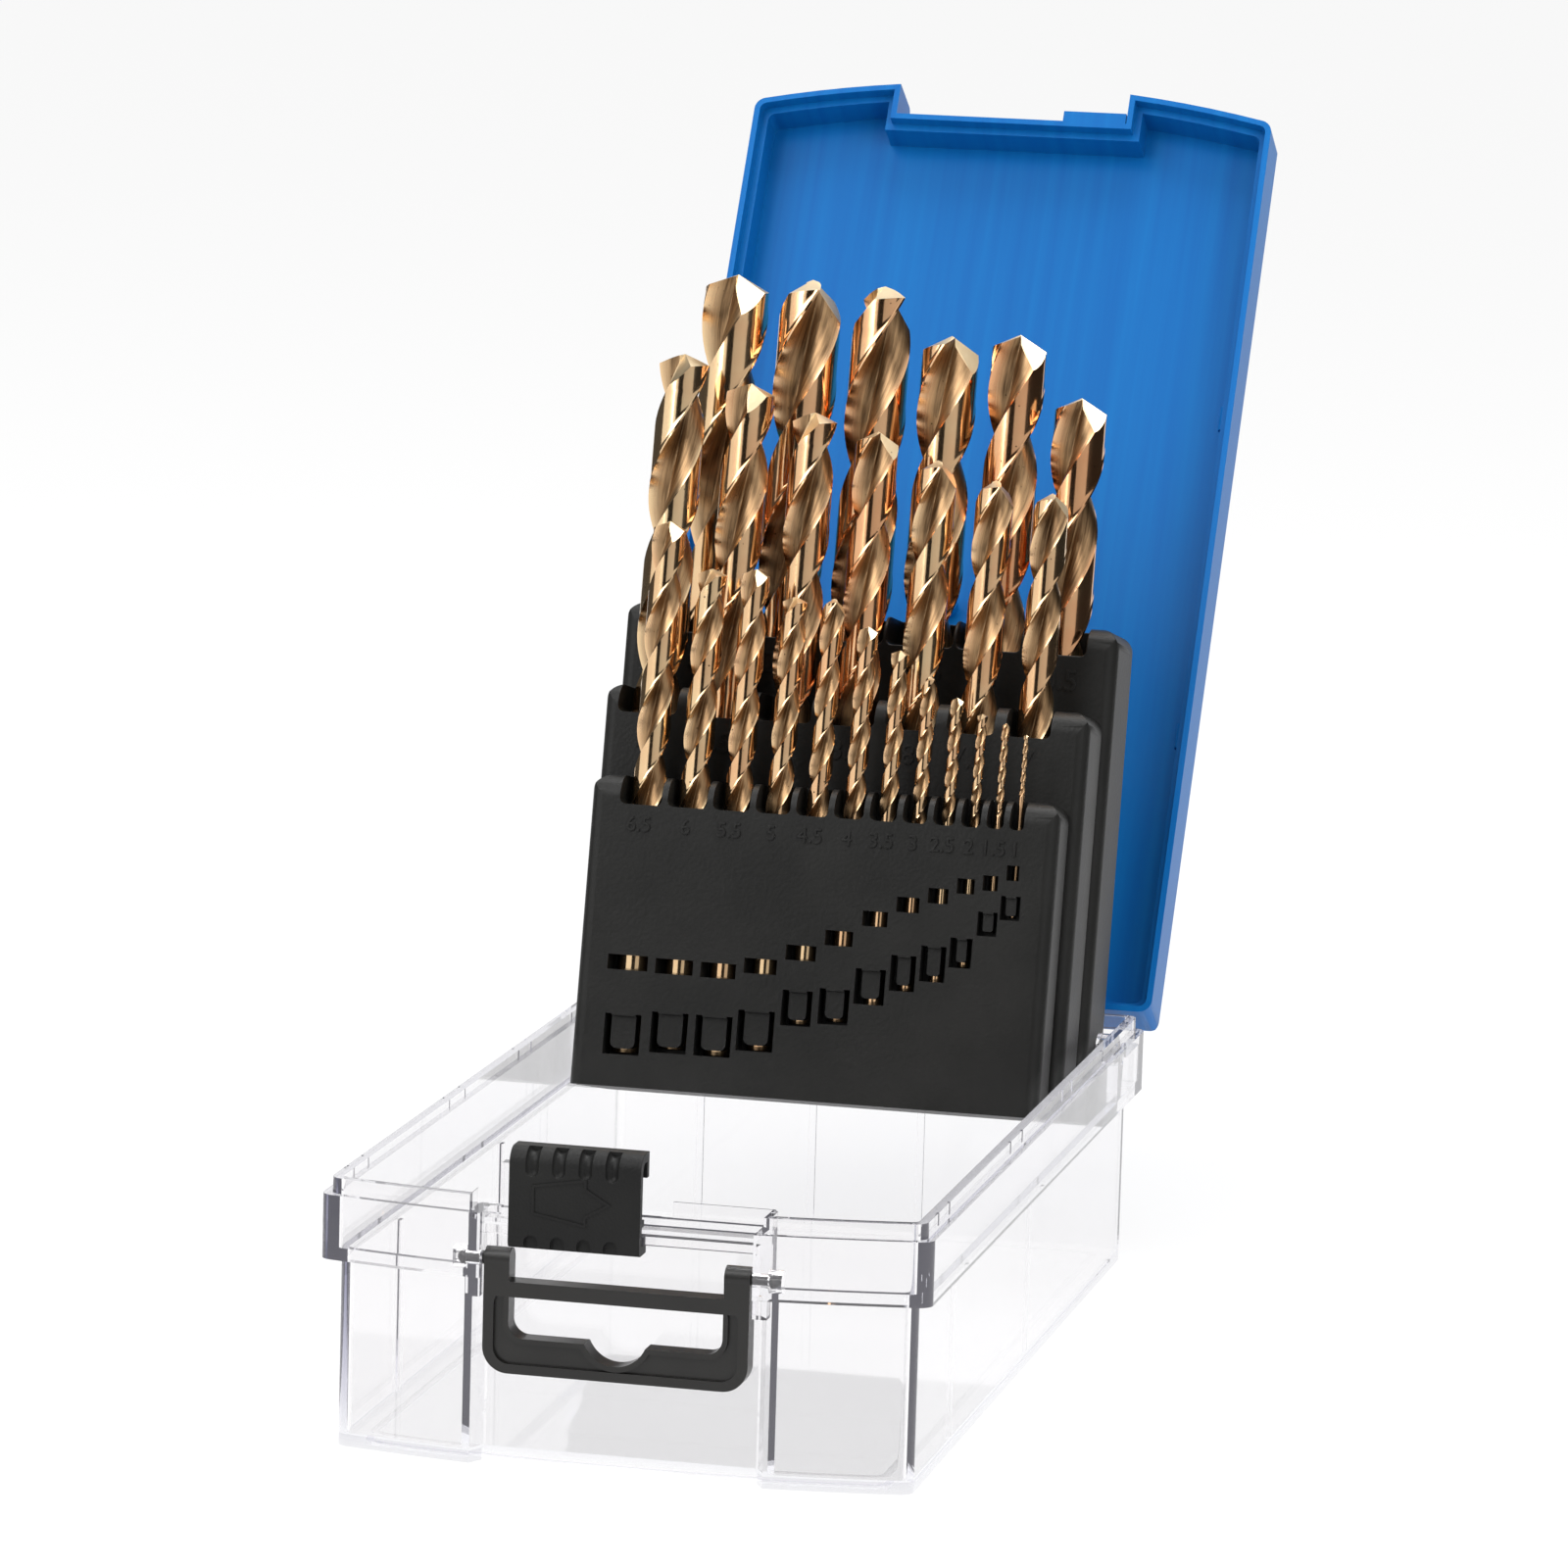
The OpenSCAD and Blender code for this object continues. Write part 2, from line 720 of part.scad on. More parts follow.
// two-lipped cross-section of a twist drill: lands on the full radius, web between the flutes
function drill_ring(r) = [for (k = [0 : 1], p = [[-36, 0.99], [0, 0.99], [36, 0.99], [72, 0.46], [112, 0.4]])
    [cos(p[0] + 180 * k) * p[1] * r, sin(p[0] + 180 * k) * p[1] * r]];

// shank, flutes wound up to the point, and the point ground as one flat cone
module twist_drill(d, l, f, turn) {
    r = d / 2;
    low = l - f - 0.2;
    rise = f + 0.2 + 0.3;
    turns = rise / (lead_ratio * d);
    wide = 1.2 * r;
    rotate([0, 0, turn]) {
        cylinder(r = r, h = l - f);
        intersection() {
            translate([0, 0, low])
                linear_extrude(rise, twist = -360 * turns, slices = ceil(12 * turns), segments = 10)
                    polygon(drill_ring(r));
            rotate_extrude()
                polygon([[0, low - 1], [wide, low - 1], [wide, l - wide / tan(point_half)], [0, l]]);
        }
    }
}

seat_gap = 0.1;
module front_drill(i) {
    color([0.66, 0.5, 0.32])
    lean_racks()
        translate([front_x(i), pocket_n(front_d[i]), front_z[i] + seat_gap])
            twist_drill(front_d[i], front_l[i], front_f[i], turn_front[i]);
}

module middle_drill(i) {
    color([0.66, 0.5, 0.32])
    lean_racks()
        translate([middle_x(i), middle_n + pocket_n(middle_d[i]), middle_z[i] + seat_gap])
            twist_drill(middle_d[i], middle_l[i], middle_f[i], turn_middle[i]);
}

module back_drill(i) {
    color([0.66, 0.5, 0.32])
    lean_racks()
        translate([back_x(i), back_n + pocket_n(back_d[i]), back_z[i] + seat_gap])
            twist_drill(back_d[i], back_l[i], back_f[i], turn_back[i]);
}

// C-shaped slider: its lower hook runs behind the rail's lip, its upper hook closes over the lid's tab
module latch_slider() {
    w = slider_w;
    h = slider_top - slider_z;
    y0 = slider_y;
    y1 = slider_y + slider_depth;
    r = slider_r;
    first = 4.1;
    step = (w - first - 5.2) / (grooves - 1);
    color([0.1, 0.1, 0.11])
    centred()
    translate([slider_open, 0, 0])
    difference() {
        rotate([90, 0, 90])
            linear_extrude(w) {
                difference() {
                    union() {
                        translate([y0 + r, slider_z])
                            square([y1 - y0 - r, h]);
                        translate([y0, slider_z + 1])
                            square([y1 - y0, h - r - 1]);
                        translate([y0 + r, slider_top - r])
                            circle(r);
                        translate([y0 + 1, slider_z + 1])
                            circle(1);
                        translate([y0 + 1, slider_z])
                            square([r, 2]);
                    }
                    translate([y0 + slider_t, slider_z + slider_t])
                        square([y1 - y0, h - 2 * slider_t - r + slider_t]);
                    translate([y0 + slider_t + 1.4, slider_z + slider_t])
                        square([y1 - y0, h - 2 * slider_t]);
                    translate([y0 + slider_t + 1.4, slider_top - slider_t - 1.4])
                        circle(1.4);
                }
                // lower hook
                translate([rail_y + 1.2 + fit, slider_z + 0.5])
                    square([1.3, rail_z - rail_t - fit - slider_z - 0.5]);
                // upper hook
                translate([y1 - 1.4, slider_top - slider_t - hook_drop])
                    square([1.4, hook_drop + 0.5]);
                // ledge that rests on the rail
                translate([y0 + slider_t - 0.2, rail_z + fit])
                    square([1.7, 1.2]);
            }
        // open back of the slider below the lower hook
        translate([-1, rail_y + 1.2 + fit + 1.3, slider_z - 1])
            cube([w + 2, slider_depth, slider_t + rail_t + 2]);
        for (i = [0 : grooves - 1]) {
            x = first + i * step;
            // upper groove: straight on the front, then over the shoulder
            translate([x, y0 - 0.35, slider_top - 3.7])
                sphere(groove_r);
            translate([x, y0 - 0.35, slider_top - 3.7])
                cylinder(r = groove_r, h = 3.7 - r);
            intersection() {
                translate([x, y0 + r, slider_top - r])
                    rotate([0, 90, 0])
                        rotate_extrude()
                            translate([r + 0.35, 0])
                                circle(groove_r);
                translate([x - 2, y0 - 2, slider_top - r])
                    cube([4, r + 2, r + 2]);
            }
            translate([x, y0 - 1, slider_z + 1.2])
                rotate([-90, 0, 0])
                    cylinder(r = groove_r, h = 1.8);
            translate([x - groove_r, y0 - 1, slider_z - 1])
                cube([2 * groove_r, 1.8, 2.2]);
        }
    }
}

module handle() {
    half = handle_half;
    bottom = -handle_len;
    cross_top = -3.6;
    cross_bottom = cross_top - cross_h;
    grip_top = bottom + grip_h;
    in = half - arm_w;
    color([0.1, 0.1, 0.11])
    centred()
    translate([0, handle_y, handle_z]) {
        difference() {
            union() {
                translate([0, handle_t / 2, 0])
                    rotate([90, 0, 0])
                        linear_extrude(handle_t)
                            difference() {
                                union() {
                                    rounded_plate(-half, bottom, half, cross_top + 3, 4.6);
                                    for (s = [-1, 1])
                                        translate([s > 0 ? in : -half, cross_top - 2])
                                            square([arm_w, 2 - cross_top]);
                                }
                                rounded_plate(-in, grip_top, in, cross_bottom, 2.9);
                                translate([-in, cross_bottom - 2.5])
                                    square([2 * in, 2.5]);
                                translate([-in, cross_top])
                                    square([2 * in, 10]);
                                // hook notch, cut into the grip bar alone
                                intersection() {
                                    translate([0, grip_top + notch_r - 3.6])
                                        circle(notch_r);
                                    translate([-in, bottom])
                                        square([2 * in, cross_bottom - bottom]);
                                }
                            }
                for (s = [-1, 1])
                    translate([s > 0 ? in : -half, 0, 0])
                        rotate([0, 90, 0])
                            cylinder(r = knuckle_r, h = arm_w);
            }
            // recessed panel on the front face of the grip bar
            translate([0, -handle_t / 2 + 0.8, 0])
                rotate([90, 0, 0])
                    linear_extrude(2)
                        difference() {
                            rounded_plate(-half + 1.9, bottom + 1.7, half - 1.9, cross_bottom + 1.5, 3);
                            rounded_plate(-in - 0.9, grip_top - 0.9, in + 0.9, cross_bottom + 2.5, 3.6);
                            translate([0, grip_top + notch_r - 3.6])
                                circle(notch_r + 1);
                            translate([-half, cross_bottom])
                                square([2 * half, 4]);
                        }
        }
        // pins through the ears of the bay, with domed ends
        for (s = [-1, 1])
            rotate([0, s * 90, 0]) {
                translate([0, 0, half - 0.5])
                    cylinder(r = handle_pin_r, h = bay_hw - half + ear_t + 1.1);
                translate([0, 0, bay_hw + ear_t + 0.3])
                    cylinder(r = head_r, h = 0.5);
                translate([0, 0, bay_hw + ear_t + 0.8])
                    intersection() {
                        translate([0, 0, -1])
                            sphere(r = norm([head_r, 1]));
                        cylinder(r = head_r, h = 2);
                    }
            }
    }
}

base();
lid();
hinge_pin();
rack_front();
rack_middle();
rack_back();
latch_slider();
handle();
front_drill(0);  // drill_6_5mm
front_drill(1);  // drill_6_0mm
front_drill(2);  // drill_5_5mm
front_drill(3);  // drill_5_0mm
front_drill(4);  // drill_4_5mm
front_drill(5);  // drill_4_0mm
front_drill(6);  // drill_3_5mm
front_drill(7);  // drill_3_0mm
front_drill(8);  // drill_2_5mm
front_drill(9);  // drill_2_0mm
front_drill(10);  // drill_1_5mm
front_drill(11);  // drill_1_0mm
middle_drill(0);  // drill_10_0mm
middle_drill(1);  // drill_9_5mm
middle_drill(2);  // drill_9_0mm
middle_drill(3);  // drill_8_5mm
middle_drill(4);  // drill_8_0mm
middle_drill(5);  // drill_7_5mm
middle_drill(6);  // drill_7_0mm
back_drill(0);  // drill_13_0mm
back_drill(1);  // drill_12_5mm
back_drill(2);  // drill_12_0mm
back_drill(3);  // drill_11_5mm
back_drill(4);  // drill_11_0mm
back_drill(5);  // drill_10_5mm
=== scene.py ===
import bpy
import bmesh
import json
import math
from mathutils import Matrix, Vector


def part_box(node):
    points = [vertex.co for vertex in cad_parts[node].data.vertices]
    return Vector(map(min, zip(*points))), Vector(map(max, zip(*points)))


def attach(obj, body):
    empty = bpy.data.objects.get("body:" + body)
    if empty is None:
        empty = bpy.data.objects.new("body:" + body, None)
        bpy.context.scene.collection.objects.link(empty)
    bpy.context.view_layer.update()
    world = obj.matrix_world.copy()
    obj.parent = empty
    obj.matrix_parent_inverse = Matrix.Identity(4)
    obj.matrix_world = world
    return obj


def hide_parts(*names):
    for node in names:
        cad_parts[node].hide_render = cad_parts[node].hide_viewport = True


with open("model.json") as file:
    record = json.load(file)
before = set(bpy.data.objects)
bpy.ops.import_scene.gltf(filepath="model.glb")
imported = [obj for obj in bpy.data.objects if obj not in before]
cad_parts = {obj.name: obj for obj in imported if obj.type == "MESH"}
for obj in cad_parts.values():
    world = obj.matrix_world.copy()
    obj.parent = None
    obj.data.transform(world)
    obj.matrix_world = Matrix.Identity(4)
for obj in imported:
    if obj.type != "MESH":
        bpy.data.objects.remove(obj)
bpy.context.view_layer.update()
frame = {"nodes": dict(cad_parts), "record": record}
cadNodes = frame["nodes"]
mm = 0.001
print("frame loaded:", len(cadNodes), "nodes")


# small helpers

def smoothStep(t):
    t = max(0.0, min(1.0, t))
    return t * t * (3 - 2 * t)


def meshPiece(name, bm, body, material, smoothAngle=35):
    mesh = bpy.data.meshes.new(name)
    bm.to_mesh(mesh)
    bm.free()
    piece = bpy.data.objects.new(name, mesh)
    bpy.context.scene.collection.objects.link(piece)
    mesh.materials.append(material)
    mesh.polygons.foreach_set("use_smooth", [True] * len(mesh.polygons))
    mesh.set_sharp_from_angle(angle=math.radians(smoothAngle))
    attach(piece, body)
    return piece


# camera

cameraSettings = {
    "place": (0.31706, -1.34669, 0.33983),
    "turn": (80.426, -1.607, 13.381),
    "lens": 174.5,
    "sensor": 36.0,
}

cameraData = bpy.data.cameras.new("photoCamera")
cameraData.lens = cameraSettings["lens"]
cameraData.sensor_width = cameraSettings["sensor"]
cameraData.clip_start = 0.05
cameraData.clip_end = 30
cameraObject = bpy.data.objects.new("photoCamera", cameraData)
cameraObject.location = cameraSettings["place"]
cameraObject.rotation_euler = [math.radians(a) for a in cameraSettings["turn"]]
bpy.context.scene.collection.objects.link(cameraObject)
bpy.context.scene.camera = cameraObject
print("camera placed")


# node groups shared by the materials

def newGroup(name, inputs, outputs):
    group = bpy.data.node_groups.new(name, "ShaderNodeTree")
    for label, kind, value in inputs:
        made = group.interface.new_socket(name=label, in_out="INPUT", socket_type=kind)
        made.default_value = value
    for label, kind in outputs:
        group.interface.new_socket(name=label, in_out="OUTPUT", socket_type=kind)
    return group, group.nodes.new("NodeGroupInput"), group.nodes.new("NodeGroupOutput")


def mathNode(tree, operation, a, b=None, clamp=False):
    made = tree.nodes.new("ShaderNodeMath")
    made.operation = operation
    made.use_clamp = clamp
    for i, value in enumerate((a, b)):
        if value is None:
            continue
        if isinstance(value, (int, float)):
            made.inputs[i].default_value = value
        else:
            tree.links.new(value, made.inputs[i])
    return made.outputs[0]


grainSettings = {"finer": 2.3, "broad": 60}


def makeGrainGroup():
    # leather-like grain of moulded plastic: small cells with finer noise on them
    group, start, end = newGroup("mouldedGrain",
        [("Cell Size", "NodeSocketFloat", 1400.0), ("Fine Share", "NodeSocketFloat", 0.35)],
        [("Height", "NodeSocketFloat"), ("Mask", "NodeSocketFloat")])
    place = group.nodes.new("ShaderNodeTexCoord")
    cells = group.nodes.new("ShaderNodeTexVoronoi")
    cells.feature = "SMOOTH_F1"
    fine = group.nodes.new("ShaderNodeTexNoise")
    fine.inputs["Detail"].default_value = 3
    group.links.new(place.outputs["Object"], cells.inputs["Vector"])
    group.links.new(place.outputs["Object"], fine.inputs["Vector"])
    group.links.new(start.outputs["Cell Size"], cells.inputs["Scale"])
    fineSize = mathNode(group, "MULTIPLY", start.outputs["Cell Size"], grainSettings["finer"])
    group.links.new(fineSize, fine.inputs["Scale"])
    fineHeight = mathNode(group, "MULTIPLY", fine.outputs["Fac"], start.outputs["Fine Share"])
    group.links.new(mathNode(group, "ADD", cells.outputs["Distance"], fineHeight), end.inputs["Height"])
    broad = group.nodes.new("ShaderNodeTexNoise")
    broad.inputs["Scale"].default_value = grainSettings["broad"]
    broad.inputs["Detail"].default_value = 4
    group.links.new(place.outputs["Object"], broad.inputs["Vector"])
    group.links.new(broad.outputs["Fac"], end.inputs["Mask"])
    return group


def makeStreakGroup():
    # long flow lines left in moulded plastic, along one direction of the object
    group, start, end = newGroup("flowStreaks",
        [("Across", "NodeSocketFloat", 500.0), ("Along", "NodeSocketFloat", 8.0)],
        [("Mask", "NodeSocketFloat")])
    place = group.nodes.new("ShaderNodeTexCoord")
    parts = group.nodes.new("ShaderNodeSeparateXYZ")
    whole = group.nodes.new("ShaderNodeCombineXYZ")
    noise = group.nodes.new("ShaderNodeTexNoise")
    noise.inputs["Scale"].default_value = 1
    noise.inputs["Detail"].default_value = 4
    group.links.new(place.outputs["Object"], parts.inputs[0])
    group.links.new(mathNode(group, "MULTIPLY", parts.outputs["X"], start.outputs["Across"]), whole.inputs["X"])
    group.links.new(mathNode(group, "MULTIPLY", parts.outputs["Y"], start.outputs["Along"]), whole.inputs["Y"])
    group.links.new(mathNode(group, "MULTIPLY", parts.outputs["Z"], start.outputs["Along"]), whole.inputs["Z"])
    group.links.new(whole.outputs[0], noise.inputs["Vector"])
    group.links.new(noise.outputs["Fac"], end.inputs["Mask"])
    return group


def makePitGroup():
    # scattered small dots, as pits or dust
    group, start, end = newGroup("scatteredDots",
        [("Spacing", "NodeSocketFloat", 900.0), ("Share", "NodeSocketFloat", 0.2)],
        [("Mask", "NodeSocketFloat")])
    place = group.nodes.new("ShaderNodeTexCoord")
    cells = group.nodes.new("ShaderNodeTexVoronoi")
    group.links.new(place.outputs["Object"], cells.inputs["Vector"])
    group.links.new(start.outputs["Spacing"], cells.inputs["Scale"])
    parts = group.nodes.new("ShaderNodeSeparateColor")
    group.links.new(cells.outputs["Color"], parts.inputs[0])
    reach = mathNode(group, "MULTIPLY", parts.outputs["Green"], 0.2)
    small = mathNode(group, "LESS_THAN", cells.outputs["Distance"], reach)
    chosen = mathNode(group, "LESS_THAN", parts.outputs["Red"], start.outputs["Share"])
    group.links.new(mathNode(group, "MULTIPLY", small, chosen), end.inputs["Mask"])
    return group


grainGroup = makeGrainGroup()
streakGroup = makeStreakGroup()
pitGroup = makePitGroup()


def placeGroup(tree, group, **values):
    made = tree.nodes.new("ShaderNodeGroup")
    made.node_tree = group
    for label, value in values.items():
        made.inputs[label.replace("_", " ")].default_value = value
    return made


def newMaterial(name):
    made = bpy.data.materials.new(name)
    made.use_nodes = True
    tree = made.node_tree
    shader = next(n for n in tree.nodes if n.type == "BSDF_PRINCIPLED")
    output = next(n for n in tree.nodes if n.type == "OUTPUT_MATERIAL")
    return made, tree, shader, output


def colourRamp(tree, factor, stops):
    ramp = tree.nodes.new("ShaderNodeValToRGB")
    ramp.color_ramp.elements[0].position = stops[0][0]
    ramp.color_ramp.elements[0].color = (*stops[0][1], 1)
    ramp.color_ramp.elements[1].position = stops[-1][0]
    ramp.color_ramp.elements[1].color = (*stops[-1][1], 1)
    for position, colour in stops[1:-1]:
        made = ramp.color_ramp.elements.new(position)
        made.color = (*colour, 1)
    tree.links.new(factor, ramp.inputs["Fac"])
    return ramp.outputs["Color"]


def valueRange(tree, value, low, high):
    made = tree.nodes.new("ShaderNodeMapRange")
    made.inputs["To Min"].default_value = low
    made.inputs["To Max"].default_value = high
    tree.links.new(value, made.inputs["Value"])
    return made.outputs["Result"]


def mixColour(tree, factor, first, second):
    made = tree.nodes.new("ShaderNodeMix")
    made.data_type = "RGBA"
    tree.links.new(factor, made.inputs[0])
    for i, value in ((6, first), (7, second)):
        if isinstance(value, tuple):
            made.inputs[i].default_value = (*value, 1)
        else:
            tree.links.new(value, made.inputs[i])
    return made.outputs[2]


def attributeNode(tree, name):
    made = tree.nodes.new("ShaderNodeAttribute")
    made.attribute_name = name
    return made


def bumpNormal(tree, shader, height, strength, distance):
    bump = tree.nodes.new("ShaderNodeBump")
    bump.inputs["Strength"].default_value = strength
    bump.inputs["Distance"].default_value = distance
    tree.links.new(height, bump.inputs["Height"])
    tree.links.new(bump.outputs["Normal"], shader.inputs["Normal"])
    return bump


# materials

def makeBlackPlastic(name, settings):
    made, tree, shader, output = newMaterial(name)
    grain = placeGroup(tree, grainGroup, Cell_Size=settings["cells"], Fine_Share=settings["fine"])
    tree.links.new(colourRamp(tree, grain.outputs["Mask"],
        [(0.3, settings["dark"]), (0.7, settings["light"])]), shader.inputs["Base Color"])
    tree.links.new(valueRange(tree, grain.outputs["Mask"], settings["rough"][0], settings["rough"][1]),
        shader.inputs["Roughness"])
    shader.inputs["Specular IOR Level"].default_value = settings["specular"]
    bumpNormal(tree, shader, grain.outputs["Height"], settings["bump"], 0.00006)
    return made


rackPlasticSettings = {
    "cells": 1500.0, "fine": 0.4, "dark": (0.0065, 0.0065, 0.006), "light": (0.011, 0.0108, 0.010),
    "rough": (0.38, 0.47), "specular": 0.22, "bump": 0.6,
}
trimPlasticSettings = {
    "cells": 2600.0, "fine": 0.3, "dark": (0.007, 0.0065, 0.006), "light": (0.012, 0.011, 0.010),
    "rough": (0.28, 0.36), "specular": 0.42, "bump": 0.25,
}
latchPlasticSettings = {
    "cells": 2000.0, "fine": 0.5, "dark": (0.006, 0.006, 0.006), "light": (0.010, 0.010, 0.0095),
    "rough": (0.44, 0.54), "specular": 0.2, "bump": 1.0,
}
rackPlastic = makeBlackPlastic("rackPlastic", rackPlasticSettings)
trimPlastic = makeBlackPlastic("trimPlastic", trimPlasticSettings)
latchPlastic = makeBlackPlastic("latchPlastic", latchPlasticSettings)

bluePlasticSettings = {
    "deep": (0.0015, 0.098, 0.335), "bright": (0.002, 0.122, 0.375),
    "rough": (0.32, 0.40), "specular": 0.13, "cells": 2200.0, "fine": 0.5, "bump": 0.12,
    "across": 420.0, "along": 9.0,
}


def makeBluePlastic(settings):
    made, tree, shader, output = newMaterial("bluePlastic")
    streaks = placeGroup(tree, streakGroup, Across=settings["across"], Along=settings["along"])
    grain = placeGroup(tree, grainGroup, Cell_Size=settings["cells"], Fine_Share=settings["fine"])
    tree.links.new(colourRamp(tree, streaks.outputs["Mask"],
        [(0.3, settings["deep"]), (0.7, settings["bright"])]), shader.inputs["Base Color"])
    tree.links.new(valueRange(tree, streaks.outputs["Mask"], settings["rough"][0], settings["rough"][1]),
        shader.inputs["Roughness"])
    shader.inputs["Specular IOR Level"].default_value = settings["specular"]
    bumpNormal(tree, shader, grain.outputs["Height"], settings["bump"], 0.00004)
    return made


bluePlastic = makeBluePlastic(bluePlasticSettings)

# the painted rim shade goes on what lies outside the tub's side walls or past its bowed front, low down
clearPlasticSettings = {
    "face": (0.928, 0.923, 0.920), "edge": (0.78, 0.775, 0.78),
    "rim": (0.68, 0.675, 0.70), "rimHeight": 0.0022, "rimInset": 0.0030, "sideWall": 0.052,
    "bowCentre": (0, 0.1342, 0), "bowRadius": 0.236, "rough": 0.03, "ior": 1.45, "specular": 0.35,
    "haze": (0.80, 0.80, 0.85), "hazeDensity": 34.0, "glowTint": (0.90, 0.88, 1.0), "paintedGlow": 0.022,
    "facing": 0.35, "edgeShadeStart": 0.55, "shadow": (0.93, 0.94, 0.95),
}


def makeClearPlastic(settings):
    made, tree, shader, output = newMaterial("clearPlastic")
    # painted shade: the wall colour turns darker grey where the walls face away from the camera, standing in for the
    # dark lines along their edges
    facing = tree.nodes.new("ShaderNodeLayerWeight")
    facing.inputs["Blend"].default_value = settings["facing"]
    walls = colourRamp(tree, facing.outputs["Facing"],
        [(settings["edgeShadeStart"], settings["face"]), (1.0, settings["edge"])])
    # painted shade: the bottom rim is given a darker colour, standing in for the grey that its thick edges show
    place = tree.nodes.new("ShaderNodeTexCoord")
    parts = tree.nodes.new("ShaderNodeSeparateXYZ")
    tree.links.new(place.outputs["Object"], parts.inputs[0])
    side = mathNode(tree, "GREATER_THAN", mathNode(tree, "ABSOLUTE", parts.outputs["X"]),
        settings["sideWall"] - settings["rimInset"])
    flat = tree.nodes.new("ShaderNodeVectorMath")
    flat.operation = "MULTIPLY"
    flat.inputs[1].default_value = (1, 1, 0)
    tree.links.new(place.outputs["Object"], flat.inputs[0])
    reach = tree.nodes.new("ShaderNodeVectorMath")
    reach.operation = "DISTANCE"
    reach.inputs[1].default_value = settings["bowCentre"]
    tree.links.new(flat.outputs[0], reach.inputs[0])
    front = mathNode(tree, "GREATER_THAN", reach.outputs["Value"], settings["bowRadius"] - settings["rimInset"])
    rim = mathNode(tree, "MULTIPLY", mathNode(tree, "ADD", side, front, clamp=True),
        mathNode(tree, "LESS_THAN", parts.outputs["Z"], settings["rimHeight"]))
    tree.links.new(mixColour(tree, rim, walls, settings["rim"]), shader.inputs["Base Color"])
    shader.inputs["Roughness"].default_value = settings["rough"]
    shader.inputs["Transmission Weight"].default_value = 1.0
    shader.inputs["IOR"].default_value = settings["ior"]
    shader.inputs["Specular IOR Level"].default_value = settings["specular"]
    # painted light: the plastic gives off a faint glow of its own, which keeps the thick edges grey
    shader.inputs["Emission Color"].default_value = (*settings["glowTint"], 1)
    shader.inputs["Emission Strength"].default_value = settings["paintedGlow"]
    # lamps shine through the walls
    lamps = tree.nodes.new("ShaderNodeLightPath")
    through = tree.nodes.new("ShaderNodeBsdfTransparent")
    through.inputs["Color"].default_value = (*settings["shadow"], 1)
    mixed = tree.nodes.new("ShaderNodeMixShader")
    tree.links.new(lamps.outputs["Is Shadow Ray"], mixed.inputs[0])
    tree.links.new(shader.outputs[0], mixed.inputs[1])
    tree.links.new(through.outputs[0], mixed.inputs[2])
    tree.links.new(mixed.outputs[0], output.inputs["Surface"])
    # long ways through the plastic turn grey
    haze = tree.nodes.new("ShaderNodeVolumeAbsorption")
    haze.inputs["Color"].default_value = (*settings["haze"], 1)
    haze.inputs["Density"].default_value = settings["hazeDensity"]
    tree.links.new(haze.outputs[0], output.inputs["Volume"])
    return made


clearPlastic = makeClearPlastic(clearPlasticSettings)

drillSteelSettings = {
    "landTan": (0.86, 0.62, 0.36), "landOrange": (0.80, 0.40, 0.20),
    "fluteBrownShade": (0.105, 0.062, 0.032), "fluteGold": (0.46, 0.29, 0.15),
    "pointGold": (0.74, 0.54, 0.30), "pointPale": (0.82, 0.68, 0.46), "pit": (0.10, 0.06, 0.03),
    "lines": (1500, 1500, 90), "patches": 70, "pitSpacing": 1100.0, "pitShare": 0.16,
    "landRough": 0.07, "fluteRough": 0.33, "pointRough": 0.18, "lineRough": 0.10, "bump": 0.5,
}


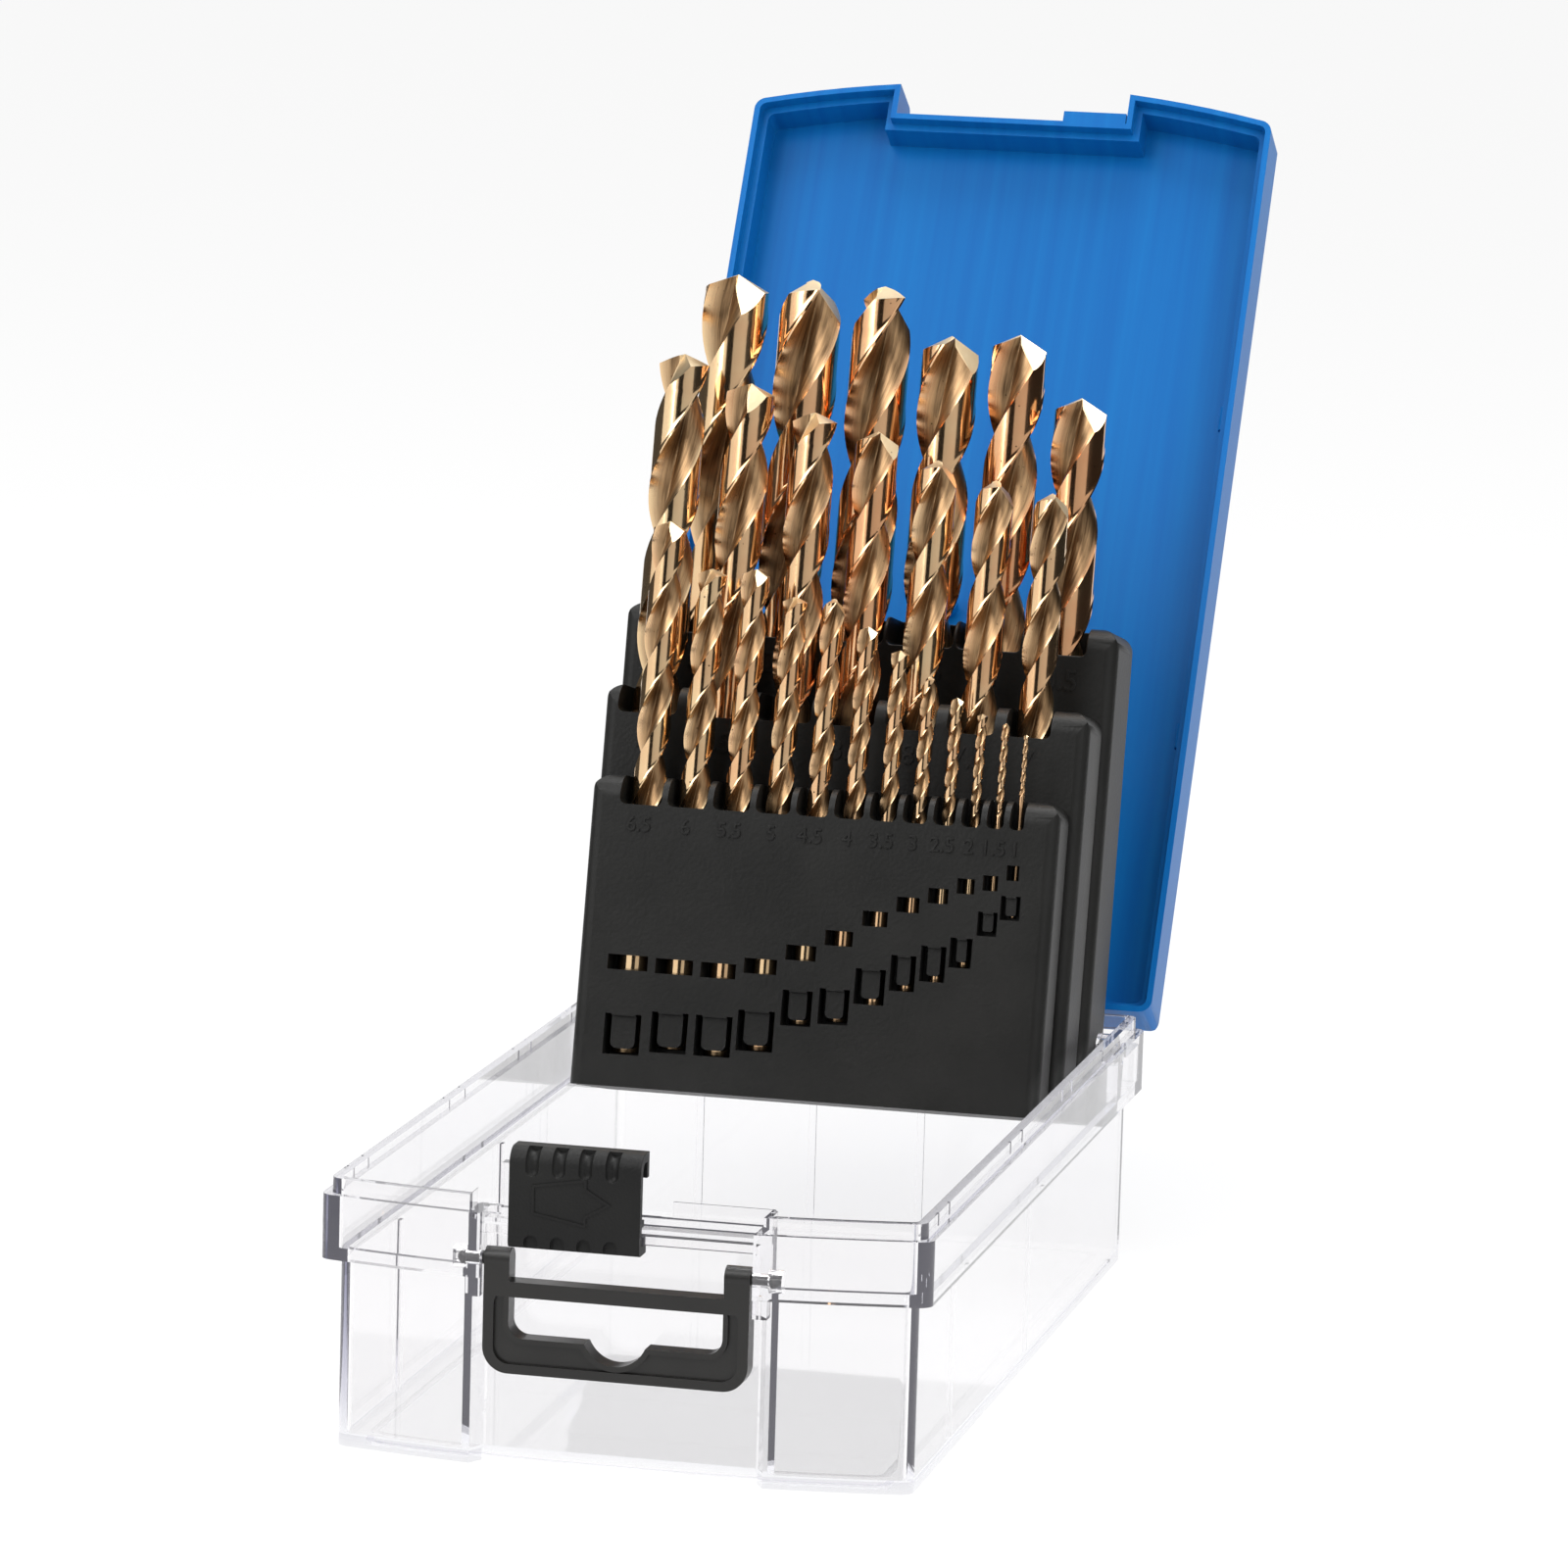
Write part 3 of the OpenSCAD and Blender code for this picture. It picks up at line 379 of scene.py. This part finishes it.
def makeDrillSteel(settings):
    made, tree, shader, output = newMaterial("drillSteel")
    shader.inputs["Metallic"].default_value = 1.0
    unwound = attributeNode(tree, "unwound")
    flute = attributeNode(tree, "fluteShare")
    point = attributeNode(tree, "pointShare")
    warmth = attributeNode(tree, "warmth")
    # grinding lines along the flutes
    stretch = tree.nodes.new("ShaderNodeMapping")
    stretch.inputs["Scale"].default_value = settings["lines"]
    tree.links.new(unwound.outputs["Vector"], stretch.inputs["Vector"])
    lines = tree.nodes.new("ShaderNodeTexNoise")
    lines.inputs["Scale"].default_value = 1
    lines.inputs["Detail"].default_value = 4
    lines.inputs["Roughness"].default_value = 0.7
    tree.links.new(stretch.outputs[0], lines.inputs["Vector"])
    # heat tint in patches
    place = tree.nodes.new("ShaderNodeTexCoord")
    patches = tree.nodes.new("ShaderNodeTexNoise")
    patches.inputs["Scale"].default_value = settings["patches"]
    patches.inputs["Detail"].default_value = 3
    tree.links.new(place.outputs["Object"], patches.inputs["Vector"])
    tint = mathNode(tree, "ADD", mathNode(tree, "MULTIPLY", warmth.outputs["Fac"], 0.85),
        mathNode(tree, "MULTIPLY", mathNode(tree, "SUBTRACT", patches.outputs["Fac"], 0.45), 1.6), clamp=True)
    land = mixColour(tree, tint, settings["landTan"], settings["landOrange"])
    # the flutes' dark brown is partly their own rougher finish and partly painted shade, darker than the metal is,
    # standing in for the dark surroundings they reflect
    trough = colourRamp(tree, mathNode(tree, "ADD", mathNode(tree, "MULTIPLY", lines.outputs["Fac"], 0.6),
        mathNode(tree, "MULTIPLY", patches.outputs["Fac"], 0.4)),
        [(0.38, settings["fluteBrownShade"]), (0.64, settings["fluteGold"])])
    body = mixColour(tree, flute.outputs["Fac"], land, trough)
    tip = mixColour(tree, lines.outputs["Fac"], settings["pointGold"], settings["pointPale"])
    whole = mixColour(tree, point.outputs["Fac"], body, tip)
    # small dark pits
    pits = placeGroup(tree, pitGroup, Spacing=settings["pitSpacing"], Share=settings["pitShare"])
    tree.links.new(mixColour(tree, pits.outputs["Mask"], whole, settings["pit"]), shader.inputs["Base Color"])
    # lands are polished, flutes and points less so
    polish = mathNode(tree, "ADD",
        valueRange(tree, flute.outputs["Fac"], settings["landRough"], settings["fluteRough"]),
        mathNode(tree, "MULTIPLY", point.outputs["Fac"], settings["pointRough"]))
    rough = mathNode(tree, "ADD", polish, mathNode(tree, "MULTIPLY", lines.outputs["Fac"], settings["lineRough"]))
    tree.links.new(rough, shader.inputs["Roughness"])
    height = mathNode(tree, "MULTIPLY", lines.outputs["Fac"], valueRange(tree, flute.outputs["Fac"], 0.12, 1.0))
    bumpNormal(tree, shader, height, settings["bump"], 0.00006)
    return made


drillSteel = makeDrillSteel(drillSteelSettings)


pinSteelSettings = {
    "dark": (0.55, 0.55, 0.57), "light": (0.72, 0.72, 0.74), "across": 30.0, "along": 2600.0, "rough": 0.3,
}


def makePinSteel(settings):
    made, tree, shader, output = newMaterial("pinSteel")
    shader.inputs["Metallic"].default_value = 1.0
    streaks = placeGroup(tree, streakGroup, Across=settings["across"], Along=settings["along"])
    tree.links.new(colourRamp(tree, streaks.outputs["Mask"],
        [(0.3, settings["dark"]), (0.7, settings["light"])]), shader.inputs["Base Color"])
    shader.inputs["Roughness"].default_value = settings["rough"]
    return made


pinSteel = makePinSteel(pinSteelSettings)
print("materials made")


# carried-over CAD nodes

dressSettings = {
    "rack_front": {"edge": 0.22, "finish": rackPlastic, "slot": "rack_plastic"},
    "rack_middle": {"edge": 0.22, "finish": rackPlastic, "slot": "rack_plastic"},
    "rack_back": {"edge": 0.22, "finish": rackPlastic, "slot": "rack_plastic"},
    "handle": {"edge": 0.25, "finish": trimPlastic, "slot": "trim_plastic"},
    "latch_slider": {"edge": 0.18, "finish": latchPlastic, "slot": "trim_plastic"},
    "lid": {"edge": 0.25, "finish": bluePlastic, "slot": "blue_plastic"},
    "base": {"edge": 0.22, "finish": clearPlastic, "slot": "clear_plastic"},
    "hinge_pin": {"edge": 0.15, "finish": pinSteel, "slot": "pin_steel"},
}


def bodyOf(name):
    return next(body for body, nodes in frame["record"]["behaviour"]["bodies"].items() if name in nodes)


# angles in degrees, lengths in millimetres
roundingSettings = {
    "merge": 0.002, "flatAngle": 0.4, "smoothAngle": 28, "edgeAngle": 40, "segments": 2, "weight": 80,
}


def dressNode(name, s, r):
    # a merged copy with whole flat faces stands for the node, so that edges can be rounded
    bm = bmesh.new()
    bm.from_mesh(cadNodes[name].data)
    bmesh.ops.remove_doubles(bm, verts=bm.verts[:], dist=r["merge"] * mm)
    bmesh.ops.dissolve_limit(bm, angle_limit=math.radians(r["flatAngle"]), verts=bm.verts[:], edges=bm.edges[:])
    piece = meshPiece(name + "_look", bm, bodyOf(name), s["finish"], r["smoothAngle"])
    rounding = piece.modifiers.new("edgeRounding", "BEVEL")
    rounding.width = s["edge"] * mm
    rounding.segments = r["segments"]
    rounding.limit_method = "ANGLE"
    rounding.angle_limit = math.radians(r["edgeAngle"])
    rounding.use_clamp_overlap = True
    evening = piece.modifiers.new("evenShading", "WEIGHTED_NORMAL")
    evening.keep_sharp = True
    evening.weight = r["weight"]
    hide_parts(name)
    return piece


for name, settings in dressSettings.items():
    dressNode(name, settings, roundingSettings)
print("case dressed")


# where things sit on the racks, in millimetres before they lean back

rackSettings = {
    "lean": 13.0, "pivot": (0.0, 77.2015, 44.5927), "pivotDepth": 39.2, "pivotHeight": 14.2,
    "wallFront": 2.4, "pocketGap": 0.2, "seatGap": 0.1,
}

# web is the plastic between two pockets, and lip the way that a cutting lip points, in degrees from above
drillRows = {
    "front": {
        "shift": 0.9, "web": 2.95, "depth": 0.0, "height": 60.0,
        "size": [6.5, 6, 5.5, 5, 4.5, 4, 3.5, 3, 2.5, 2, 1.5, 1],
        "length": [103, 93, 94, 87.5, 82, 76, 69, 60.5, 56, 48.5, 40, 35],
        "flute": [63, 57, 57, 52, 47, 43, 39, 33, 30, 24, 18, 12],
        "floor": [6.6, 7.9, 7.3, 8.9, 14.5, 15.5, 18.3, 22.1, 22.9, 27.6, 34.6, 37.6],
        "lip": [48, 3, 43, -2, -62, 53, 23, -40, 60, 10, -70, 30],
        "warmth": [0.1, 0.1, 0.2, 0.3, 0.3, 0.4, 0.3, 0.3, 0.3, 0.3, 0.3, 0.3],
        "numberSize": 4.1, "numberBelow": 9.6,
    },
    "middle": {
        "shift": -1.6, "web": 4.05, "depth": 12.6, "height": 78.5,
        "size": [10, 9.5, 9, 8.5, 8, 7.5, 7],
        "length": [133, 126, 124, 118, 116, 110, 109],
        "flute": [87, 81, 81, 75, 75, 69, 69],
        "floor": [10.8, 12.7, 9.7, 12.7, 9.7, 12.4, 11.5],
        "lip": [3, 30, -2, 87, -66, -62, -72],
        "warmth": [0.0, 0.5, 0.6, 0.8, 0.2, 0.3, 0.3],
        "numberSize": 5.6, "numberBelow": 10.6,
    },
    "back": {
        "shift": 1.4, "web": 2.45, "depth": 28.7, "height": 96.0,
        "size": [13, 12.5, 12, 11.5, 11, 10.5],
        "length": [151, 151, 151, 142, 142, 133],
        "flute": [101, 101, 101, 94, 94, 87],
        "floor": [11.1, 10.8, 10.2, 10.1, 11, 8.2],
        "lip": [46, -62, -34, 89, 67, 68],
        "warmth": [0.1, 0.5, 0.7, 0.4, 1.0, 0.9],
        "numberSize": 5.8, "numberBelow": 10.8,
    },
}
rackPlace = (Matrix.Translation(Vector(rackSettings["pivot"]) * mm)
    @ Matrix.Rotation(math.radians(-rackSettings["lean"]), 4, "X")
    @ Matrix.Translation(Vector((0, -rackSettings["pivotDepth"], -rackSettings["pivotHeight"])) * mm))


def pocketCentres(row):
    sizes = row["size"]
    places = [0.0]
    for i in range(1, len(sizes)):
        places.append(places[-1] + (sizes[i - 1] + sizes[i]) / 2 + row["web"])
    middle = places[-1] / 2
    return [x - middle + row["shift"] for x in places]


# twist drills

drillSettings = {
    "leadRatio": 5.44, "landHalfAngle": 41.0, "web": 0.24, "marginAngle": 9.0, "landRadius": 0.97,
    "fluteSkew": 0.62, "fluteRound": 0.85, "fluteBlend": 0.06,
    "pointHalfAngle": 67.5, "relief": 9.0, "facetSlope": 1.45, "facetBehind": 131.0,
    "grindStart": 0.26, "grindBlend": 0.2, "pointTop": 1.55, "runOut": 1.1, "foot": ((0.25, 1.0), (0.0, 0.86)),
    "sectionPoints": 80, "smallSectionPoints": 48, "smallSize": 3.2, "stepsPerTurn": 40, "pointLevels": 8,
    "smoothAngle": 26,
}


def sectionShape(angle, s):
    # share of the radius, share of the flute, and degrees ahead of the lip (none on the land)
    half = s["landHalfAngle"]
    angle = (angle + 90) % 180 - 90
    if abs(angle) <= half:
        onMargin = angle > half - s["marginAngle"]
        return (1.0 if onMargin else s["landRadius"]), 0.0, None, half - angle
    ahead = (angle - half) % 180
    along = ahead / (180 - 2 * half)
    depth = math.sin(math.pi * along ** s["fluteSkew"]) ** s["fluteRound"]
    share = s["landRadius"] - (s["landRadius"] - s["web"]) * depth
    return share, smoothStep(min(along, 1 - along) / s["fluteBlend"]), ahead, 180 - ahead


def pointDrop(reach, behind, s):
    # how far the ground point lies below the tip: a low relief behind the lip, then a steep facet
    low = 1 / math.tan(math.radians(s["pointHalfAngle"])) + math.tan(math.radians(s["relief"])) * math.radians(behind)
    steep = s["facetSlope"] * math.cos(math.radians(behind - s["facetBehind"]))
    return reach * max(low, steep)


def pointHeight(reach, ahead, behind, radius, length, twist, s):
    # a line of the section climbs its helix until it meets the ground point
    lipZ = length - pointDrop(radius, 0, s)
    z = lipZ
    for i in range(40):
        turned = math.degrees((lipZ - z) * twist)
        drop = pointDrop(reach, behind + turned, s)
        if ahead is not None:
            along = ahead / (180 - 2 * s["landHalfAngle"])
            share = smoothStep((along - s["grindStart"]) / s["grindBlend"])
            drop = share * drop + (1 - share) * pointDrop(reach, turned - ahead, s)
        z = 0.5 * z + 0.5 * (length - drop)
    return z


def makeDrill(name, size, length, flute, lip, warmth, place):
    s = drillSettings
    radius = size / 2 * mm
    length, flute = length * mm, flute * mm
    points = s["sectionPoints"] if size > s["smallSize"] else s["smallSectionPoints"]
    twist = 2 * math.pi / (s["leadRatio"] * size * mm)
    lowZ = length - flute
    topZ = length - s["pointTop"] * radius
    lipTurn = (length - pointDrop(radius, 0, s) - lowZ) * twist
    turn = math.radians(lip - s["landHalfAngle"]) - lipTurn

    bm = bmesh.new()
    unwound = bm.verts.layers.float_vector.new("unwound")
    fluteShare = bm.verts.layers.float.new("fluteShare")
    warm = bm.verts.layers.float.new("warmth")
    pointShare = bm.faces.layers.float.new("pointShare")
    ring = bmesh.ops.create_circle(bm, cap_ends=False, segments=points, radius=radius)["verts"]
    for v in ring:
        share, inFlute, ahead, behind = sectionShape(math.degrees(math.atan2(v.co.y, v.co.x)), s)
        v.co.xy = v.co.xy * share
        v[fluteShare] = inFlute
        v[unwound] = v.co.copy()
    bmesh.ops.translate(bm, verts=ring, vec=(0, 0, lowZ))
    bottomEdges = bm.edges[:]

    # flutes wound up the body
    sweep = (topZ - lowZ) * twist
    steps = max(8, round(s["stepsPerTurn"] * sweep / (2 * math.pi)))
    wound = bmesh.ops.spin(bm, geom=bottomEdges, cent=(0, 0, 0), axis=(0, 0, 1),
        dvec=(0, 0, (topZ - lowZ) / steps), angle=sweep, steps=steps, use_merge=False)
    for v in bm.verts:
        spun = Matrix.Rotation(-(v.co.z - lowZ) * twist, 3, "Z") @ v.co
        v[unwound] = Vector((spun.x, spun.y, v.co.z))
    # the flutes run out into the shank
    for v in bm.verts:
        kept = smoothStep((v.co.z - lowZ) / (s["runOut"] * size * mm))
        across = v.co.xy.length
        v.co.xy = v.co.xy * ((radius + (across - radius) * kept) / across)
        v[fluteShare] = v[fluteShare] * kept

    # every line of the section runs on to the ground point
    edges = [e for e in wound["geom_last"] if isinstance(e, bmesh.types.BMEdge)]
    heights = {}
    for i in range(s["pointLevels"]):
        grown = bmesh.ops.extrude_edge_only(bm, edges=edges)["geom"]
        edges = [e for e in grown if isinstance(e, bmesh.types.BMEdge)]
        for v in [v for v in grown if isinstance(v, bmesh.types.BMVert)]:
            start = Vector((v[unwound].x, v[unwound].y, 0))
            key = (round(start.x * 1e7), round(start.y * 1e7))
            if key not in heights:
                share, inFlute, ahead, behind = sectionShape(math.degrees(math.atan2(start.y, start.x)), s)
                heights[key] = pointHeight(start.length, ahead, behind, radius, length, twist, s)
            z = topZ + (heights[key] - topZ) * (i + 1) / s["pointLevels"]
            turned = Matrix.Rotation((z - lowZ) * twist, 3, "Z") @ start
            v.co = (turned.x, turned.y, z)
            v[unwound] = Vector((start.x, start.y, z))
    top = bmesh.ops.contextual_create(bm, geom=edges)["faces"]
    poked = bmesh.ops.poke(bm, faces=top)
    for v in poked["verts"]:
        v.co = (0, 0, length)
        v[unwound] = Vector((0, 0, length))
    for face in poked["faces"]:
        face[pointShare] = 1.0

    # plain shank with a chamfered foot
    edges = bottomEdges
    for level, share in s["foot"]:
        grown = bmesh.ops.extrude_edge_only(bm, edges=edges)["geom"]
        edges = [e for e in grown if isinstance(e, bmesh.types.BMEdge)]
        for v in grown:
            if isinstance(v, bmesh.types.BMVert):
                v.co = (v.co.x * share, v.co.y * share, level * size * mm)
                v[unwound] = v.co.copy()
    bmesh.ops.contextual_create(bm, geom=edges)
    bmesh.ops.remove_doubles(bm, verts=bm.verts[:], dist=0.000001)
    for v in bm.verts:
        v[warm] = warmth
    bmesh.ops.recalc_face_normals(bm, faces=bm.faces[:])
    bmesh.ops.transform(bm, matrix=place @ Matrix.Rotation(turn, 4, "Z"), verts=bm.verts[:])
    node = "drill_%d_%dmm" % (int(size), round(size % 1 * 10))
    piece = meshPiece(name, bm, node, drillSteel, s["smoothAngle"])
    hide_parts(node)
    return piece


for rowName, row in drillRows.items():
    centres = pocketCentres(row)
    for i, size in enumerate(row["size"]):
        depth = row["depth"] + rackSettings["wallFront"] + rackSettings["pocketGap"] + size / 2
        seat = rackPlace @ Matrix.Translation(
            Vector((centres[i], depth, row["floor"][i] + rackSettings["seatGap"])) * mm)
        makeDrill("twist_drill_%g" % size, size, row["length"][i], row["flute"][i], row["lip"][i],
            row["warmth"][i], seat)
print("drills wound")


# size numbers on the racks

numberSettings = {"raised": 0.22, "sunk": 0.08, "bevel": 0.03, "curveSteps": 4}


def makeNumbers(rowName, row, s):
    centres = pocketCentres(row)
    whole = bmesh.new()
    for i, size in enumerate(row["size"]):
        text = bpy.data.curves.new("number", "FONT")
        text.body = "%g" % size
        text.size = row["numberSize"] * mm
        text.align_x = "CENTER"
        text.align_y = "CENTER"
        text.extrude = (s["raised"] + s["sunk"]) / 2 * mm
        text.bevel_depth = s["bevel"] * mm
        text.resolution_u = s["curveSteps"]
        holder = bpy.data.objects.new("number", text)
        bpy.context.scene.collection.objects.link(holder)
        bpy.context.view_layer.update()
        mesh = bpy.data.meshes.new_from_object(holder)
        lift = (s["raised"] - s["sunk"]) / 2
        facing = Matrix(((1, 0, 0, 0), (0, 0, -1, 0), (0, 1, 0, 0), (0, 0, 0, 1)))
        mesh.transform(rackPlace @ Matrix.Translation(
            Vector((centres[i], row["depth"] - lift, row["height"] - row["numberBelow"])) * mm)
            @ facing)
        whole.from_mesh(mesh)
        bpy.data.objects.remove(holder)
        bpy.data.curves.remove(text)
        bpy.data.meshes.remove(mesh)
    bmesh.ops.remove_doubles(whole, verts=whole.verts[:], dist=0.000001)
    return meshPiece("numbers_" + rowName, whole, "racks", rackPlastic, 30)


for rowName, row in drillRows.items():
    makeNumbers(rowName, row, numberSettings)
print("numbers raised")


# arrow on the latch

arrowSettings = {
    "tail": -7.6, "neck": 2.2, "tip": 6.6, "shaft": 2.6, "head": 4.3, "stroke": 0.45, "raised": 0.2, "sunk": 0.1,
}


def makeArrow(s):
    latchLow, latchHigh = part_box("latch_slider")
    centre = Vector(((latchLow[0] + latchHigh[0]) / 2, latchLow[1], (latchLow[2] + latchHigh[2]) / 2))
    bm = bmesh.new()
    outline = [(s["tail"], -s["shaft"]), (s["neck"], -s["shaft"]), (s["neck"], -s["head"]), (s["tip"], 0),
        (s["neck"], s["head"]), (s["neck"], s["shaft"]), (s["tail"], s["shaft"])]
    corners = [bm.verts.new((x * mm, 0, z * mm)) for x, z in outline]
    face = bmesh.ops.contextual_create(bm, geom=corners)["faces"]
    bmesh.ops.inset_region(bm, faces=face, thickness=s["stroke"] * mm, use_boundary=True, use_even_offset=True)
    bmesh.ops.delete(bm, geom=face, context="FACES_ONLY")
    stroke = bmesh.ops.extrude_face_region(bm, geom=bm.faces[:])["geom"]
    bmesh.ops.translate(bm, verts=[v for v in stroke if isinstance(v, bmesh.types.BMVert)],
        vec=(0, -(s["raised"] + s["sunk"]) * mm, 0))
    bmesh.ops.translate(bm, verts=bm.verts[:], vec=centre + Vector((0, s["sunk"] * mm, 0)))
    bmesh.ops.recalc_face_normals(bm, faces=bm.faces[:])
    return meshPiece("latch_arrow", bm, "latch", latchPlastic, 30)


makeArrow(arrowSettings)
print("arrow drawn")


# floor, light and background

stageSettings = {
    "floorReach": 6.0, "floorShade": 0.94, "floorRough": 0.9, "floorGlow": 0.84, "world": 0.62,
}


def makeFloor(s):
    bm = bmesh.new()
    bmesh.ops.create_grid(bm, x_segments=2, y_segments=2, size=s["floorReach"])
    mesh = bpy.data.meshes.new("floor")
    bm.to_mesh(mesh)
    bm.free()
    made = bpy.data.objects.new("floor", mesh)
    bpy.context.scene.collection.objects.link(made)
    material, tree, shader, output = newMaterial("floorPaper")
    shader.inputs["Base Color"].default_value = (s["floorShade"],) * 3 + (1,)
    shader.inputs["Roughness"].default_value = s["floorRough"]
    shader.inputs["Specular IOR Level"].default_value = 0.1
    glow = tree.nodes.new("ShaderNodeEmission")
    glow.inputs["Color"].default_value = (1, 1, 1, 1)
    glow.inputs["Strength"].default_value = 1.0
    rays = tree.nodes.new("ShaderNodeLightPath")
    seen = mathNode(tree, "ADD", rays.outputs["Is Camera Ray"], rays.outputs["Is Transmission Ray"], clamp=True)
    seen = mathNode(tree, "ADD", seen, rays.outputs["Is Glossy Ray"], clamp=True)
    share = mathNode(tree, "MULTIPLY", seen, s["floorGlow"])
    mixed = tree.nodes.new("ShaderNodeMixShader")
    tree.links.new(share, mixed.inputs[0])
    tree.links.new(shader.outputs[0], mixed.inputs[1])
    tree.links.new(glow.outputs[0], mixed.inputs[2])
    tree.links.new(mixed.outputs[0], output.inputs["Surface"])
    mesh.materials.append(material)
    return made


def makeWorld(s):
    world = bpy.data.worlds.new("studio")
    bpy.context.scene.world = world
    world.use_nodes = True
    tree = world.node_tree
    tree.nodes.clear()
    output = tree.nodes.new("ShaderNodeOutputWorld")
    white = tree.nodes.new("ShaderNodeBackground")
    white.inputs["Color"].default_value = (1, 1, 1, 1)
    soft = tree.nodes.new("ShaderNodeBackground")
    soft.inputs["Color"].default_value = (1, 1, 1, 1)
    soft.inputs["Strength"].default_value = s["world"]
    rays = tree.nodes.new("ShaderNodeLightPath")
    seen = mathNode(tree, "ADD", rays.outputs["Is Camera Ray"], rays.outputs["Is Transmission Ray"], clamp=True)
    seen = mathNode(tree, "ADD", seen, rays.outputs["Is Glossy Ray"], clamp=True)
    mixed = tree.nodes.new("ShaderNodeMixShader")
    tree.links.new(seen, mixed.inputs[0])
    tree.links.new(soft.outputs[0], mixed.inputs[1])
    tree.links.new(white.outputs[0], mixed.inputs[2])
    tree.links.new(mixed.outputs[0], output.inputs["Surface"])


lampAim = (0, 0, 0.1)
lampSettings = {
    "key": {"place": (-0.75, -0.75, 1.05), "size": (1.1, 1.1), "watts": 13.0},
    "fill": {"place": (1.1, -0.8, 0.7), "size": (0.8, 1.0), "watts": 9.0},
    "top": {"place": (0.1, 0.3, 1.5), "size": (1.0, 0.8), "watts": 15.0},
}


def makeLamp(name, s):
    data = bpy.data.lights.new(name, "AREA")
    data.shape = "RECTANGLE"
    data.size, data.size_y = s["size"]
    data.energy = s["watts"]
    lamp = bpy.data.objects.new(name, data)
    lamp.location = s["place"]
    aim = Vector(lampAim) - Vector(s["place"])
    lamp.rotation_euler = aim.to_track_quat("-Z", "Y").to_euler()
    bpy.context.scene.collection.objects.link(lamp)


# dark cards that only reflections see: the gap at the camera and the dim right side
cardSettings = {
    "gapCard": {"from": -25, "to": 1, "near": 1.05, "low": 0.02, "high": 1.1, "shade": 0.02},
    "dimCard": {"from": 1, "to": 54, "near": 1.1, "low": 0.02, "high": 1.1, "shade": 0.54},
    "rightCard": {"from": 54, "to": 140, "near": 1.0, "low": 0.02, "high": 1.0, "shade": 0.03},
    "leftCard": {"from": -160, "to": -92, "near": 1.0, "low": 0.02, "high": 0.9, "shade": 0.08},
}


def makeCard(name, s):
    # a strip of a standing drum round the object, between two angles from the camera's side
    facing = math.radians(-90 + cameraSettings["turn"][2])
    bm = bmesh.new()
    start = [bm.verts.new((0, 0, z)) for z in (s["low"], s["high"])]
    first = facing + math.radians(s["from"])
    for v in start:
        v.co.x, v.co.y = math.cos(first) * s["near"], math.sin(first) * s["near"]
    edge = bmesh.ops.contextual_create(bm, geom=start)["edges"]
    bmesh.ops.spin(bm, geom=start + edge, cent=(0, 0, 0), axis=(0, 0, 1), dvec=(0, 0, 0),
        angle=math.radians(s["to"] - s["from"]), steps=12, use_merge=False)
    mesh = bpy.data.meshes.new(name)
    bm.to_mesh(mesh)
    bm.free()
    card = bpy.data.objects.new(name, mesh)
    bpy.context.scene.collection.objects.link(card)
    material, tree, shader, output = newMaterial(name)
    glow = tree.nodes.new("ShaderNodeEmission")
    glow.inputs["Strength"].default_value = s["shade"]
    tree.links.new(glow.outputs[0], output.inputs["Surface"])
    mesh.materials.append(material)
    card.visible_camera = False
    card.visible_diffuse = False
    card.visible_transmission = False
    card.visible_shadow = False


makeFloor(stageSettings)
makeWorld(stageSettings)
for name, settings in cardSettings.items():
    makeCard(name, settings)
for name, settings in lampSettings.items():
    makeLamp(name, settings)
bpy.context.scene.view_settings.view_transform = "Standard"
print("stage set")
